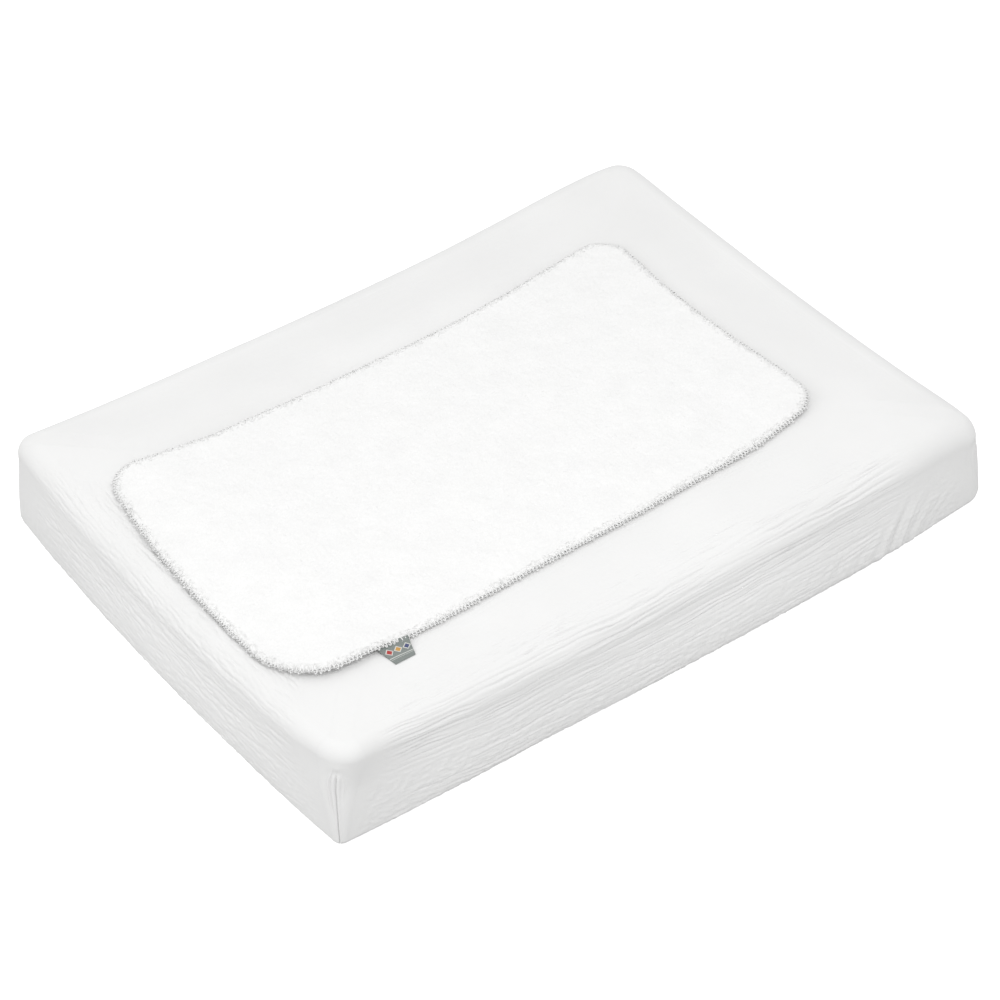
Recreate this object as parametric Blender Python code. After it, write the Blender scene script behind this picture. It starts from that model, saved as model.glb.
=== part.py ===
"""Changing pad: foam mattress in a zipped casing, fitted muslin cover, terry liner.

Metres, +Z up.  Origin at the centre of the footprint, on the surface the pad rests on.
+X runs along the pad, -Y is the front, the long side the label faces; the zip is at the rear.
"""
import math

import bmesh
import bpy
from mathutils import Matrix, Vector

MM = 0.001
GAP = 0.3 * MM                     # clearance between neighbouring pieces

# ---------------------------------------------------------------- pad and cover dimensions
PAD_LENGTH = 0.800                 # fitted cover, corner to corner
PAD_WIDTH = 0.606
PAD_HEIGHT = 0.105                 # to the top of the cover
BOW_TOP = 1 * MM                   # the sides belly out half way along: at their top edge,
BOW_BOTTOM = 13 * MM               # at their foot,
BOW_LIP = 2 * MM                   # and along the turned-under lip
CORNER_R = 27 * MM                 # plan radius of the cover's corners
MIN_CORNER_R = 2 * MM
TOP_EDGE_R = 22 * MM
BOTTOM_EDGE_R = 12 * MM
MUSLIN_T = 0.9 * MM

RIM_DIP = 9 * MM                   # the top edge sinks this much half way along each side
DIP_FULL = 22 * MM                 # the dip has its full depth this near the edge
DIP_REACH = 110 * MM               # the top is level this far in from the edge
DIP_MARGIN = 20 * MM               # the dip fades in between this above the foot and below the top
TOP_INSETS = (0.040, 0.060, 0.084, 0.116)      # rings that carry the dip across the top

LIP = 72 * MM                      # how far the cover turns under the pad
LIP_RING_MIN = 30 * MM             # rings further in than this belong to the lip or the top
HEM_W = 12 * MM                    # width of the elastic's channel
HEM_R = 55 * MM                    # plan radius of the hem's folded edge
HEM_OUTER_R = HEM_R + 6 * MM
ELASTIC_W = 8 * MM
ELASTIC_T = 0.8 * MM
ELASTIC_OUTER_R = 59 * MM
STITCH_W = 0.6 * MM
STITCH_H = 1.4 * MM
STITCH_RADII = (61.2 * MM, 61.6 * MM)

# ---------------------------------------------------------------- casing and foam dimensions
CASING_INSET = 8 * MM              # casing's outside, in from the cover's outside
CASING_T = 0.8 * MM
CASING_CORNER_R = 26 * MM
CASING_EDGE_R = 18 * MM
CASING_FOOT = 3.6 * MM             # underside of the casing, just above the hem
CASING_CLEAR_TOP = 0.8 * MM        # between the casing and the cover above it
CASING_TOP = PAD_HEIGHT - MUSLIN_T - CASING_CLEAR_TOP
CASING_HX = PAD_LENGTH / 2 - CASING_INSET
CASING_HY = PAD_WIDTH / 2 - CASING_INSET       # outer face of the casing's rear wall
WALL_IN_Y = CASING_HY - CASING_T               # its inner face
FOAM_CLEAR = 0.4 * MM

CORNER_STEPS = 4                   # segments in each corner of a plan outline
SIDE_STEPS = 8                     # segments along each side
CASING_EDGE_STEPS = 3
COVER_TOP_STEPS = 5
COVER_BOTTOM_STEPS = 3

# ---------------------------------------------------------------- zip dimensions
ZIP_Z = 0.052                      # height of the zip's centre line
ZIP_HALF = 0.326                   # half the length of the rows of teeth
ZIP_SLOT_H = 24 * MM               # opening the zip closes
TAPE_W = 14 * MM
TAPE_T = 0.7 * MM
TAPE_OVERRUN = 12 * MM             # tape beyond each end of the teeth
TAPE_Y1 = WALL_IN_Y - GAP
TAPE_Y0 = TAPE_Y1 - TAPE_T
TOOTH_PITCH = 4.0 * MM
TOOTH_T = 2.3 * MM
TOOTH_REACH = 4.0 * MM             # back of the cord, from the centre line
TOOTH_NECK = 2.9 * MM              # where the teeth leave the cord, from the centre line
TOOTH_TIP = 0.75 * MM              # tooth tip, from the centre line
TOOTH_BASE_HALF = 1.0 * MM         # half the tooth's length along the zip, at its neck
TOOTH_TIP_HALF = 0.75 * MM         # and at its tip
TOOTH_END_CLEAR = 0.1 * MM         # least plain cord beyond the end teeth
TEETH_YC = (TAPE_Y0 + TAPE_Y1) / 2
TEETH_Y0, TEETH_Y1 = TEETH_YC - TOOTH_T / 2, TEETH_YC + TOOTH_T / 2
BOTTOM_STOP_L = 3.2 * MM
TOP_STOP_L = 2.8 * MM
TOP_STOP_NEAR = 0.5 * MM           # top stop's near edge, from the centre line

CUTTER_PROUD = 10 * MM             # rear cutters stand this far outside the casing
RELIEF_OVERRUN = 22 * MM           # foam groove beyond each end of the teeth
RELIEF_DEPTH = 1.9 * MM            # foam groove, in from the inner face of the teeth
RELIEF_HALF_H = 20 * MM
SLOT_OVERRUN = 4 * MM              # casing slot beyond each end of the teeth
SLOT_CUT_DEPTH = 4 * MM            # slot cutter, in from the wall's inner face

SLIDER_X = 0.312                   # slider at the closed end
SLIDER_L = 13 * MM
SLIDER_W = 13 * MM
SLIDER_T = 0.9 * MM
PLATE_Y = TEETH_Y1 + GAP + SLIDER_T            # outer face of the slider's outer plate
DIVIDER_X0, DIVIDER_X1 = SLIDER_X - 1.0 * MM, SLIDER_X + 4.6 * MM
DIVIDER_HALF_H = 0.4 * MM
DIVIDER_BITE = 0.2 * MM            # overlap into each plate
FLANGE_HALF_L = 4.5 * MM
FLANGE_NEAR, FLANGE_FAR = 0.74, 0.86           # as shares of the slider's half width
FLANGE_BITE = 0.3 * MM

BAIL_X = SLIDER_X + 0.5 * MM
BAIL_HALF_L = 3.4 * MM
BAIL_HALF_H = 0.9 * MM
BAIL_BAR_T = 0.8 * MM
BAIL_POST_L = 1.0 * MM
POST_BITE_PLATE = 0.3 * MM
POST_BITE_BAR = 0.35 * MM

PULL_L = 24 * MM
PULL_T = 0.8 * MM
PULL_YC = PLATE_Y + GAP + PULL_T / 2           # centre of the pull's crossbar
EYE_NEAR, EYE_FAR = 0.5 * MM, 4.6 * MM         # ends of the eye, from the hinge
EYE_HALF_H = 1.5 * MM
EYE_CUT_PROUD = 1 * MM

# ---------------------------------------------------------------- liner and label dimensions
LINER_X0, LINER_X1 = -0.377, 0.282
LINER_Y0, LINER_Y1 = -0.203, 0.169
LINER_R = 46 * MM
LINER_CORNER_STEPS = 6
LAYER_INSET = 1.2 * MM             # edges of the layers, in from the serging's outside
FOLD_Y = -0.017                    # the liner folds along this line
FOLD_GAP = 0.5 * MM                # each half stops this short of the fold line
BACKING_T = 0.5 * MM
TERRY_T = 2.0 * MM
SERGE_W = 5.0 * MM
SERGE_T = 0.5 * MM
SERGE_WALL = 0.8 * MM
SERGE_BEVEL_IN, SERGE_BEVEL_Z = 0.6 * MM, 0.5 * MM

LINER_Z = PAD_HEIGHT + GAP         # underside of the serged edge
BACKING_Z = LINER_Z + SERGE_T + GAP
TERRY_Z = BACKING_Z + BACKING_T + GAP
TERRY_TOP = TERRY_Z + TERRY_T
LINER_TOP = TERRY_TOP + GAP + SERGE_T
FOLD_Z = LINER_TOP + 0.6 * MM      # the fold turns about a line just above the liner
FOLD_ORIGIN = ((LINER_X0 + LINER_X1) / 2, FOLD_Y, FOLD_Z)

LABEL_X0, LABEL_X1 = -0.283, -0.253
LABEL_LEN = 25 * MM
LABEL_PLY = 0.35 * MM
LABEL_PLY_GAP = 0.2 * MM           # between the two plies
LABEL_SETBACK = 0.3 * MM           # cut ends, from the hinge line
LABEL_HINGE_Y = LINER_Y0 - 0.5 * MM
LABEL_HINGE_Z = LINER_TOP + 0.5 * MM
LABEL_END_CLEAR = 0.5 * MM         # allowed for above the cover at the free end

# ---------------------------------------------------------------- scene and materials
for old in list(bpy.data.objects):
    bpy.data.objects.remove(old, do_unlink=True)


def principled(name, colour, roughness, metallic=0.0):
    mat = bpy.data.materials.new(name)
    mat.use_nodes = True
    shader = mat.node_tree.nodes["Principled BSDF"]
    shader.inputs["Base Color"].default_value = (*colour, 1.0)
    shader.inputs["Roughness"].default_value = roughness
    shader.inputs["Metallic"].default_value = metallic
    mat.diffuse_color = (*colour, 1.0)
    return mat


MUSLIN = principled("muslin_white", colour=(0.90, 0.90, 0.89), roughness=0.92)
TERRY = principled("terry_white", colour=(0.95, 0.95, 0.945), roughness=0.97)
BACKING = principled("waterproof_backing", colour=(0.88, 0.89, 0.90), roughness=0.45)
THREAD = principled("polyester_thread", colour=(0.93, 0.93, 0.92), roughness=0.60)
ELASTIC = principled("knitted_elastic", colour=(0.86, 0.86, 0.85), roughness=0.80)
FOAM = principled("open_cell_foam", colour=(0.93, 0.90, 0.78), roughness=0.95)
CASING = principled("coated_casing", colour=(0.90, 0.91, 0.92), roughness=0.40)
TAPE = principled("zip_tape_weave", colour=(0.89, 0.89, 0.88), roughness=0.80)
TOOTH = principled("zip_resin", colour=(0.92, 0.92, 0.91), roughness=0.35)
METAL = principled("zip_metal", colour=(0.74, 0.74, 0.73), roughness=0.32, metallic=1.0)
LABEL = principled("woven_label_grey", colour=(0.29, 0.31, 0.29), roughness=0.75)


# ---------------------------------------------------------------- mesh helpers
def new_object(name, bm, material, origin=(0, 0, 0), sharp_deg=None):
    """Close off a bmesh as a named object; vertices are given in world space.

    With sharp_deg it is shaded smooth, except across edges sharper than that angle."""
    bmesh.ops.remove_doubles(bm, verts=bm.verts, dist=1e-6)
    bmesh.ops.recalc_face_normals(bm, faces=bm.faces)
    bm.normal_update()
    if bm.calc_volume(signed=True) < 0:
        bmesh.ops.reverse_faces(bm, faces=bm.faces)
    offset = Vector(origin)
    bmesh.ops.translate(bm, verts=bm.verts, vec=-offset)
    mesh = bpy.data.meshes.new(name)
    bm.to_mesh(mesh)
    bm.free()
    mesh.materials.append(material)
    ob = bpy.data.objects.new(name, mesh)
    ob.location = offset
    bpy.context.scene.collection.objects.link(ob)
    if sharp_deg is not None:
        mesh.shade_smooth()
        mesh.set_sharp_from_angle(angle=math.radians(sharp_deg))
    return ob


def box(name, material, x_span, y_span, z_span):
    """Box between pairs of coordinates, each given low to high."""
    bm = bmesh.new()
    for v in bmesh.ops.create_cube(bm, size=1.0)["verts"]:
        v.co = Vector([span[0] if c < 0 else span[1]
                       for c, span in zip(v.co, (x_span, y_span, z_span))])
    return new_object(name, bm, material)


def around(centre, half):
    return centre - half, centre + half


def zip_side_span(side, near, far):
    """Heights between two distances above (+1) or below (-1) the zip's centre line."""
    return sorted((ZIP_Z + side * near, ZIP_Z + side * far))


def loft(bm, rings, capped=True, closed=False, down_bands=None):
    """Skin a list of equal-count vertex rings; each ring is a list of (x, y, z).

    closed joins the last ring to the first.  With down_bands the skin is made of triangles
    whose diagonals all lean the same way up the body, so that nested shells stay parallel;
    the first down_bands bands are the ones that run downwards."""
    rows = [[bm.verts.new(p) for p in ring] for ring in rings]
    n = len(rows[0])
    pairs = list(zip(rows, rows[1:]))
    if closed:
        pairs.append((rows[-1], rows[0]))
    for k, (a, b) in enumerate(pairs):
        for i in range(n):
            j = (i + 1) % n
            if down_bands is None:
                bm.faces.new((a[i], a[j], b[j], b[i]))
            elif k < down_bands:
                bm.faces.new((a[i], a[j], b[i]))
                bm.faces.new((a[j], b[j], b[i]))
            else:
                bm.faces.new((a[i], a[j], b[j]))
                bm.faces.new((a[i], b[j], b[i]))
    if capped and not closed:
        bm.faces.new(rows[0])
        bm.faces.new(rows[-1])
    return rows


def lofted(name, material, rings, origin=(0, 0, 0), sharp_deg=None, **loft_options):
    bm = bmesh.new()
    loft(bm, rings, **loft_options)
    return new_object(name, bm, material, origin, sharp_deg)


def zip_prism(name, material, profile, y_span, origin=(0, 0, 0)):
    """Profile of (x, height above the zip's centre line), given thickness along Y."""
    rings = [[(x, y, ZIP_Z + z) for x, z in profile] for y in y_span]
    return lofted(name, material, rings, origin)


def add_boolean(target, helper, name, operation):
    mod = target.modifiers.new(name, "BOOLEAN")
    mod.operation = operation
    mod.solver = "EXACT"
    mod.object = helper
    helper.hide_render = True
    helper.display_type = "WIRE"


def cut(target, cutter):
    add_boolean(target, cutter, "cut_" + cutter.name, "DIFFERENCE")


# ---------------------------------------------------------------- outlines shared by the shells
def outline(hx, hy, radius, bow=0.0):
    """Plan outline, counter-clockwise from the rear end of the +X side.

    The sides lie hx, hy from the centre, and belly out by bow at their middles."""
    pts = []
    corners = ((1, 1), (-1, 1), (-1, -1), (1, -1))
    for k, (sx, sy) in enumerate(corners):
        start = 0.5 * math.pi * k
        cx, cy = sx * (hx - radius), sy * (hy - radius)
        for i in range(CORNER_STEPS + 1):
            a = start + 0.5 * math.pi * i / CORNER_STEPS
            pts.append((cx + radius * math.cos(a), cy + radius * math.sin(a)))
        next_sx, next_sy = corners[(k + 1) % 4]
        end_x, end_y = next_sx * (hx - radius), next_sy * (hy - radius)
        a = start + 0.5 * math.pi
        for i in range(1, SIDE_STEPS):
            t = i / SIDE_STEPS
            out = radius + bow * 4 * t * (1 - t)
            pts.append((cx + (end_x - cx) * t + math.cos(a) * out,
                        cy + (end_y - cy) * t + math.sin(a) * out))
    return pts


def at_height(pts, z):
    return [(x, y, z) for x, y in pts]


def smoothstep(t):
    t = min(max(t, 0.0), 1.0)
    return t * t * (3 - 2 * t)


def sink(ring):
    """Lower a ring where the fitted cover pulls the pad's rim down between its corners."""
    def along(position, half):
        return max(0.0, 1 - (position / (half - CORNER_R)) ** 2)

    def near(position, half):
        return 1 - smoothstep((half - abs(position) - DIP_FULL) / (DIP_REACH - DIP_FULL))

    hx, hy = PAD_LENGTH / 2, PAD_WIDTH / 2
    sunk = []
    for x, y, z in ring:
        share = min(1.0, along(x, hx) * near(y, hy) + along(y, hy) * near(x, hx))
        share *= smoothstep((z - DIP_MARGIN) / (PAD_HEIGHT - 2 * DIP_MARGIN))
        sunk.append((x, y, z - RIM_DIP * share))
    return sunk


def quarter_arc(steps):
    """Points round a quarter circle of radius 1: (falling from 1 to 0, rising from 0 to 1)."""
    angles = [0.5 * math.pi * i / steps for i in range(steps + 1)]
    return [(1 - math.sin(a), 1 - math.cos(a)) for a in angles]


# ---------------------------------------------------------------- foam core and casing
def casing_block(name, material, inset, sharp_deg=None):
    """Solid block parallel to the casing's outside and inset from it."""
    z0, z1 = CASING_FOOT + inset, CASING_TOP - inset
    corner_r, edge_r = CASING_CORNER_R - inset, CASING_EDGE_R - inset

    def ring(edge_inset, z):
        return at_height(outline(CASING_HX - inset - edge_inset, CASING_HY - inset - edge_inset,
                                 max(corner_r - edge_inset, 1 * MM)), z)

    arc = quarter_arc(CASING_EDGE_STEPS)
    rings = [ring(edge_r * fall, z0 + edge_r * rise) for fall, rise in arc]
    rings += [ring(edge_r * rise, z1 - edge_r * fall) for fall, rise in arc]
    rings += [at_height(outline(PAD_LENGTH / 2 - top_inset, PAD_WIDTH / 2 - top_inset,
                                MIN_CORNER_R), z1) for top_inset in TOP_INSETS]
    return lofted(name, material, [sink(r) for r in rings], sharp_deg=sharp_deg, down_bands=0)


def foam_core():
    """Block of foam with a shallow groove that clears the back of the zip."""
    foam = casing_block("foam_core", FOAM, CASING_T + FOAM_CLEAR, sharp_deg=35)
    cut(foam, box("zip_relief_cutter", FOAM, around(0, ZIP_HALF + RELIEF_OVERRUN),
                  (TEETH_Y0 - RELIEF_DEPTH, CASING_HY + CUTTER_PROUD),
                  around(ZIP_Z, RELIEF_HALF_H)))


def moisture_casing():
    """Thin coated shell round the foam, open along the zip."""
    shell = casing_block("moisture_casing", CASING, 0.0, sharp_deg=35)
    cut(shell, casing_block("casing_hollow_cutter", CASING, CASING_T))
    cut(shell, box("casing_slot_cutter", CASING, around(0, ZIP_HALF + SLOT_OVERRUN),
                   (WALL_IN_Y - SLOT_CUT_DEPTH, CASING_HY + CUTTER_PROUD),
                   around(ZIP_Z, ZIP_SLOT_H / 2)))


# ---------------------------------------------------------------- zip
def zip_tape(name, side):
    """side +1 above the centre line, -1 below."""
    near = TOOTH_REACH + GAP
    box(name, TAPE, around(0, ZIP_HALF + TAPE_OVERRUN), (TAPE_Y0, TAPE_Y1),
        zip_side_span(side, near, near + TAPE_W))


def zip_teeth(name, side, phase):
    """A cord with teeth moulded on it, as one comb-shaped profile given thickness.

    The two rows' teeth alternate, and their tips stop short of the centre line so that
    the slider's divider passes between them."""
    profile = [(-ZIP_HALF, TOOTH_REACH), (-ZIP_HALF, TOOTH_NECK)]
    for i in range(int(2 * ZIP_HALF / TOOTH_PITCH)):
        x = -ZIP_HALF + (i + phase) * TOOTH_PITCH
        if abs(x) + TOOTH_BASE_HALF > ZIP_HALF - TOOTH_END_CLEAR:
            continue
        profile += [(x - TOOTH_BASE_HALF, TOOTH_NECK), (x - TOOTH_TIP_HALF, TOOTH_TIP),
                    (x + TOOTH_TIP_HALF, TOOTH_TIP), (x + TOOTH_BASE_HALF, TOOTH_NECK)]
    profile += [(ZIP_HALF, TOOTH_NECK), (ZIP_HALF, TOOTH_REACH)]
    zip_prism(name, TOOTH, [(x, side * z) for x, z in profile], (TEETH_Y0, TEETH_Y1))


def zip_stops():
    """One block across both rows at the -X end, and one on each row at the +X end."""
    end = ZIP_HALF + GAP
    box("zip_bottom_stop", METAL, (-end - BOTTOM_STOP_L, -end), (TEETH_Y0, TEETH_Y1),
        around(ZIP_Z, TOOTH_REACH))
    for name, side in (("zip_top_stop_upper", 1), ("zip_top_stop_lower", -1)):
        box(name, METAL, (end, end + TOP_STOP_L), (TEETH_Y0, TEETH_Y1),
            zip_side_span(side, TOP_STOP_NEAR, TOOTH_REACH))


def slider_plate_outline():
    """A slider body in (x, z): broad shoulders at the divider end, narrower at the tail."""
    l, w = SLIDER_L / 2, SLIDER_W / 2
    lower = [(-l, -w * 0.80), (-l * 0.2, -w * 0.86), (l * 0.25, -w), (l * 0.8, -w), (l, -w * 0.80)]
    upper = [(x, -z) for x, z in reversed(lower)]
    return [(SLIDER_X + x, z) for x, z in lower + upper]


def zip_slider():
    """Two plates held apart by the divider, with flanges that guide the tapes and a bail."""
    inner_y = TEETH_Y0 - GAP           # facing sides of the inner and outer plates
    outer_y = TEETH_Y1 + GAP
    plate = slider_plate_outline()
    body = zip_prism("zip_slider", METAL, plate, (outer_y, PLATE_Y))

    # each block is its spans along x, y and z, starting with the divider between the rows
    blocks = [((DIVIDER_X0, DIVIDER_X1), (inner_y - DIVIDER_BITE, outer_y + DIVIDER_BITE),
               around(ZIP_Z, DIVIDER_HALF_H))]
    # flanges: short lips from each plate that stop clear of the tape
    for side in (1, -1):
        flange_x = around(SLIDER_X, FLANGE_HALF_L)
        flange_z = zip_side_span(side, SLIDER_W / 2 * FLANGE_NEAR, SLIDER_W / 2 * FLANGE_FAR)
        blocks.append((flange_x, (TAPE_Y1 + GAP, outer_y + FLANGE_BITE), flange_z))
        blocks.append((flange_x, (inner_y - FLANGE_BITE, TAPE_Y0 - GAP), flange_z))
    # bail: two posts and a bar over the pull's crossbar
    bar_y = PULL_YC + PULL_T / 2 + GAP
    bail_z = around(ZIP_Z, BAIL_HALF_H)
    for post_x in (BAIL_X - BAIL_HALF_L, BAIL_X + BAIL_HALF_L - BAIL_POST_L):
        blocks.append(((post_x, post_x + BAIL_POST_L),
                       (PLATE_Y - POST_BITE_PLATE, bar_y + POST_BITE_BAR), bail_z))
    blocks.append((around(BAIL_X, BAIL_HALF_L), (bar_y, bar_y + BAIL_BAR_T), bail_z))

    parts = [zip_prism("slider_union_0", METAL, plate, (inner_y - SLIDER_T, inner_y))]
    parts += [box("slider_union_%d" % k, METAL, *spans) for k, spans in enumerate(blocks, 1)]
    for k, part in enumerate(parts):
        add_boolean(body, part, "join_%d" % k, "UNION")


def zip_pull():
    """Tab with an eye; its crossbar lies under the slider's bail, which is its hinge."""
    # (distance from the hinge towards -X, half width)
    tab = [(-0.6 * MM, 2.6 * MM), (5.2 * MM, 2.6 * MM), (8.0 * MM, 3.4 * MM),
           (PULL_L - 2.4 * MM, 3.4 * MM), (PULL_L - 0.8 * MM, 2.6 * MM), (PULL_L, 1.2 * MM)]
    profile = [(BAIL_X - d, w) for d, w in tab] + [(BAIL_X - d, -w) for d, w in reversed(tab)]
    pull = zip_prism("zip_pull", METAL, profile, around(PULL_YC, PULL_T / 2),
                     origin=(BAIL_X, PULL_YC, ZIP_Z))
    cut(pull, box("pull_eye_cutter", METAL, (BAIL_X - EYE_FAR, BAIL_X - EYE_NEAR),
                  around(PULL_YC, PULL_T / 2 + EYE_CUT_PROUD), around(ZIP_Z, EYE_HALF_H)))


# ---------------------------------------------------------------- muslin cover
def cover_ring(inset, z, radius=None):
    """Ring of the cover, inset from its outside; the side's belly fades with height."""
    if radius is None:
        radius = max(CORNER_R - inset, MIN_CORNER_R)
    if inset > LIP_RING_MIN:
        bow = BOW_LIP if z < PAD_HEIGHT / 2 else 0.0
    else:
        bow = BOW_BOTTOM + (BOW_TOP - BOW_BOTTOM) * z / PAD_HEIGHT
    return sink(at_height(outline(PAD_LENGTH / 2 - inset, PAD_WIDTH / 2 - inset, radius, bow), z))


def muslin_cover():
    """Fitted cover: top, four sides and a lip turned under, ending in the elastic's channel."""
    t, h = MUSLIN_T, PAD_HEIGHT
    top_arc, bottom_arc = quarter_arc(COVER_TOP_STEPS), quarter_arc(COVER_BOTTOM_STEPS)
    # outside: across the top, down the sides to the foot
    rings = [cover_ring(inset, h) for inset in reversed(TOP_INSETS)]
    rings += [cover_ring(TOP_EDGE_R * fall, h - TOP_EDGE_R * rise) for fall, rise in top_arc]
    rings += [cover_ring(BOTTOM_EDGE_R * rise, BOTTOM_EDGE_R * fall) for fall, rise in bottom_arc]
    down_bands = len(rings)
    # lip and hem: (inset, z, corner radius)
    ply_z = t + GAP + ELASTIC_T + GAP              # underside of the hem's upper ply
    for inset, z, radius in ((LIP, 0.0, HEM_R),
                             (LIP, ply_z + t, HEM_R),
                             (LIP - HEM_W, ply_z + t, HEM_OUTER_R),
                             (LIP - HEM_W, ply_z, HEM_OUTER_R),
                             (LIP - t, ply_z, HEM_R),
                             (LIP - t, t, HEM_R)):
        rings.append(cover_ring(inset, z, radius))
    # inside: from the foot back up the sides and across the top
    r = BOTTOM_EDGE_R - t
    rings += [cover_ring(t + r * fall, t + r * rise) for fall, rise in bottom_arc]
    r = TOP_EDGE_R - t
    rings += [cover_ring(t + r * rise, h - t - r * fall) for fall, rise in top_arc]
    rings += [cover_ring(inset, h - t) for inset in TOP_INSETS]
    lofted("muslin_cover", MUSLIN, rings, sharp_deg=40, down_bands=down_bands)


def hem_band(name, material, inset, width, height, radii):
    """Closed band on the lip, from its inner edge's inset outwards; radii are (inner, outer)."""
    z0 = MUSLIN_T + GAP
    z1 = z0 + height
    inner_r, outer_r = radii
    rings = [cover_ring(inset, z0, inner_r), cover_ring(inset - width, z0, outer_r),
             cover_ring(inset - width, z1, outer_r), cover_ring(inset, z1, inner_r)]
    lofted(name, material, rings, sharp_deg=40, closed=True)


def corner_seam(name, sx, sy):
    """Seam allowance and its thread, standing inside the cover up one boxed corner."""
    z0, z1, steps = 16 * MM, 84 * MM, 8
    wide, narrow = 4.1 * MM, 3.5 * MM              # half widths, as the overlock thread swells
    depth = 1.3 * MM
    inner_share = 0.8                              # width of the inner face, against the outer
    r = CORNER_R - MUSLIN_T - 3 * GAP
    cx, cy = sx * (PAD_LENGTH / 2 - CORNER_R), sy * (PAD_WIDTH / 2 - CORNER_R)
    rings = []
    for i in range(steps + 1):
        z = z0 + (z1 - z0) * i / steps
        half = narrow if i % 2 else wide
        inner_half = half * inner_share
        ring = []
        for reach, across in ((r, -half), (r, half),
                              (r - depth, inner_half), (r - depth, -inner_half)):
            a = math.atan2(sy, sx) + across / r
            ring.append((cx + reach * math.cos(a), cy + reach * math.sin(a), z))
        rings.append(ring)
    lofted(name, THREAD, rings)


# ---------------------------------------------------------------- liner
def half_path(side, inset):
    """Half of the liner's outline, from fold to fold round the rear (+1) or front (-1)."""
    y_fold = FOLD_Y + side * FOLD_GAP
    r = LINER_R - inset
    x0, x1 = LINER_X0 + inset, LINER_X1 - inset
    y_end = (LINER_Y1 - inset) if side > 0 else (LINER_Y0 + inset)
    pts = [(x1, y_fold)]
    for quarter, cx in enumerate((x1 - r, x0 + r)):
        for i in range(LINER_CORNER_STEPS + 1):
            a = 0.5 * math.pi * (quarter + i / LINER_CORNER_STEPS)
            pts.append((cx + r * math.cos(a), y_end - side * r + side * r * math.sin(a)))
    pts.append((x0, y_fold))
    return pts


def liner_layer(name, side, z0, thickness, material):
    pts = half_path(side, LAYER_INSET)
    lofted(name, material, [at_height(pts, z0), at_height(pts, z0 + thickness)], FOLD_ORIGIN)


def serged_edge(name, side):
    """Thread-wrapped edge: a channel section round the edges of both layers."""
    # (inset from the liner's edge, z)
    section = [(0.0, LINER_Z + SERGE_BEVEL_Z), (0.0, LINER_TOP - SERGE_BEVEL_Z),
               (SERGE_BEVEL_IN, LINER_TOP), (SERGE_W, LINER_TOP),
               (SERGE_W, LINER_TOP - SERGE_T), (SERGE_WALL, LINER_TOP - SERGE_T),
               (SERGE_WALL, LINER_Z + SERGE_T), (SERGE_W, LINER_Z + SERGE_T),
               (SERGE_W, LINER_Z), (SERGE_BEVEL_IN, LINER_Z)]
    paths = [at_height(half_path(side, inset), z) for inset, z in section]
    lofted(name, THREAD, list(zip(*paths)), FOLD_ORIGIN)


def label_tab():
    """Woven ribbon folded in half, its cut ends at the hinge and its fold at the free end."""
    drop = LABEL_HINGE_Z - PAD_HEIGHT - 2 * LABEL_PLY - LABEL_END_CLEAR
    tilt = Matrix.Rotation(math.asin(drop / LABEL_LEN), 4, "X")
    inner = LABEL_PLY_GAP / 2
    outer = inner + LABEL_PLY
    nose = outer * 0.45                            # half thickness at the very tip
    tip, shoulder = LABEL_LEN, LABEL_LEN - 0.5 * MM
    slit_end = LABEL_LEN - 0.9 * MM
    # section along the tab: (distance from the cut ends, height across the plies)
    section = [(0.0, inner), (0.0, outer), (shoulder, outer), (tip, nose), (tip, -nose),
               (shoulder, -outer), (0.0, -outer), (0.0, -inner), (slit_end, -inner),
               (slit_end, inner)]
    rings = []
    for x in (LABEL_X0, LABEL_X1):
        tilted = [tilt @ Vector((0.0, -d - LABEL_SETBACK, height)) for d, height in section]
        rings.append([(x, LABEL_HINGE_Y + v.y, LABEL_HINGE_Z + v.z) for v in tilted])
    bm = bmesh.new()
    # side faces as upper ply, fold and lower ply, by index into the section
    for row in loft(bm, rings, capped=False):
        for strip in ((0, 1, 2, 9), (2, 3, 4, 5, 8, 9), (5, 6, 7, 8)):
            bm.faces.new([row[i] for i in strip])
    new_object("label_tab", bm, LABEL,
               origin=((LABEL_X0 + LABEL_X1) / 2, LABEL_HINGE_Y, LABEL_HINGE_Z))


# ---------------------------------------------------------------- build
foam_core()
moisture_casing()
zip_tape("zip_tape_upper", 1)
zip_tape("zip_tape_lower", -1)
zip_teeth("zip_teeth_upper", 1, phase=0.5)
zip_teeth("zip_teeth_lower", -1, phase=1.0)
zip_stops()
zip_slider()
zip_pull()
muslin_cover()
hem_band("hem_elastic", ELASTIC, inset=LIP - MUSLIN_T - GAP, width=ELASTIC_W,
         height=ELASTIC_T, radii=(HEM_R, ELASTIC_OUTER_R))
hem_band("hem_stitch_thread", THREAD, inset=LIP - HEM_W - GAP, width=STITCH_W,
         height=STITCH_H, radii=STITCH_RADII)
for y_name, y_side in (("front", -1), ("rear", 1)):
    for x_name, x_side in (("left", -1), ("right", 1)):
        corner_seam("corner_seam_%s_%s" % (y_name, x_name), x_side, y_side)
for y_name, y_side in (("rear", 1), ("front", -1)):
    liner_layer("liner_terry_" + y_name, y_side, TERRY_Z, TERRY_T, TERRY)
    liner_layer("liner_backing_" + y_name, y_side, BACKING_Z, BACKING_T, BACKING)
    serged_edge("liner_serged_edge_" + y_name, y_side)
label_tab()
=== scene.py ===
"""Changing pad: a crinkled muslin cover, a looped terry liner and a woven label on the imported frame.

The pad lies flat on z = 0, centred on the origin, with its long sides along x and its front
towards -y. The liner lies on top, and the label hangs from the liner's front edge.
Lengths are in metres; values multiplied by MM are written in millimetres.
"""
import math
from types import SimpleNamespace

import bpy
import bmesh
import numpy as np
from mathutils import Matrix, Vector, geometry


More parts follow.
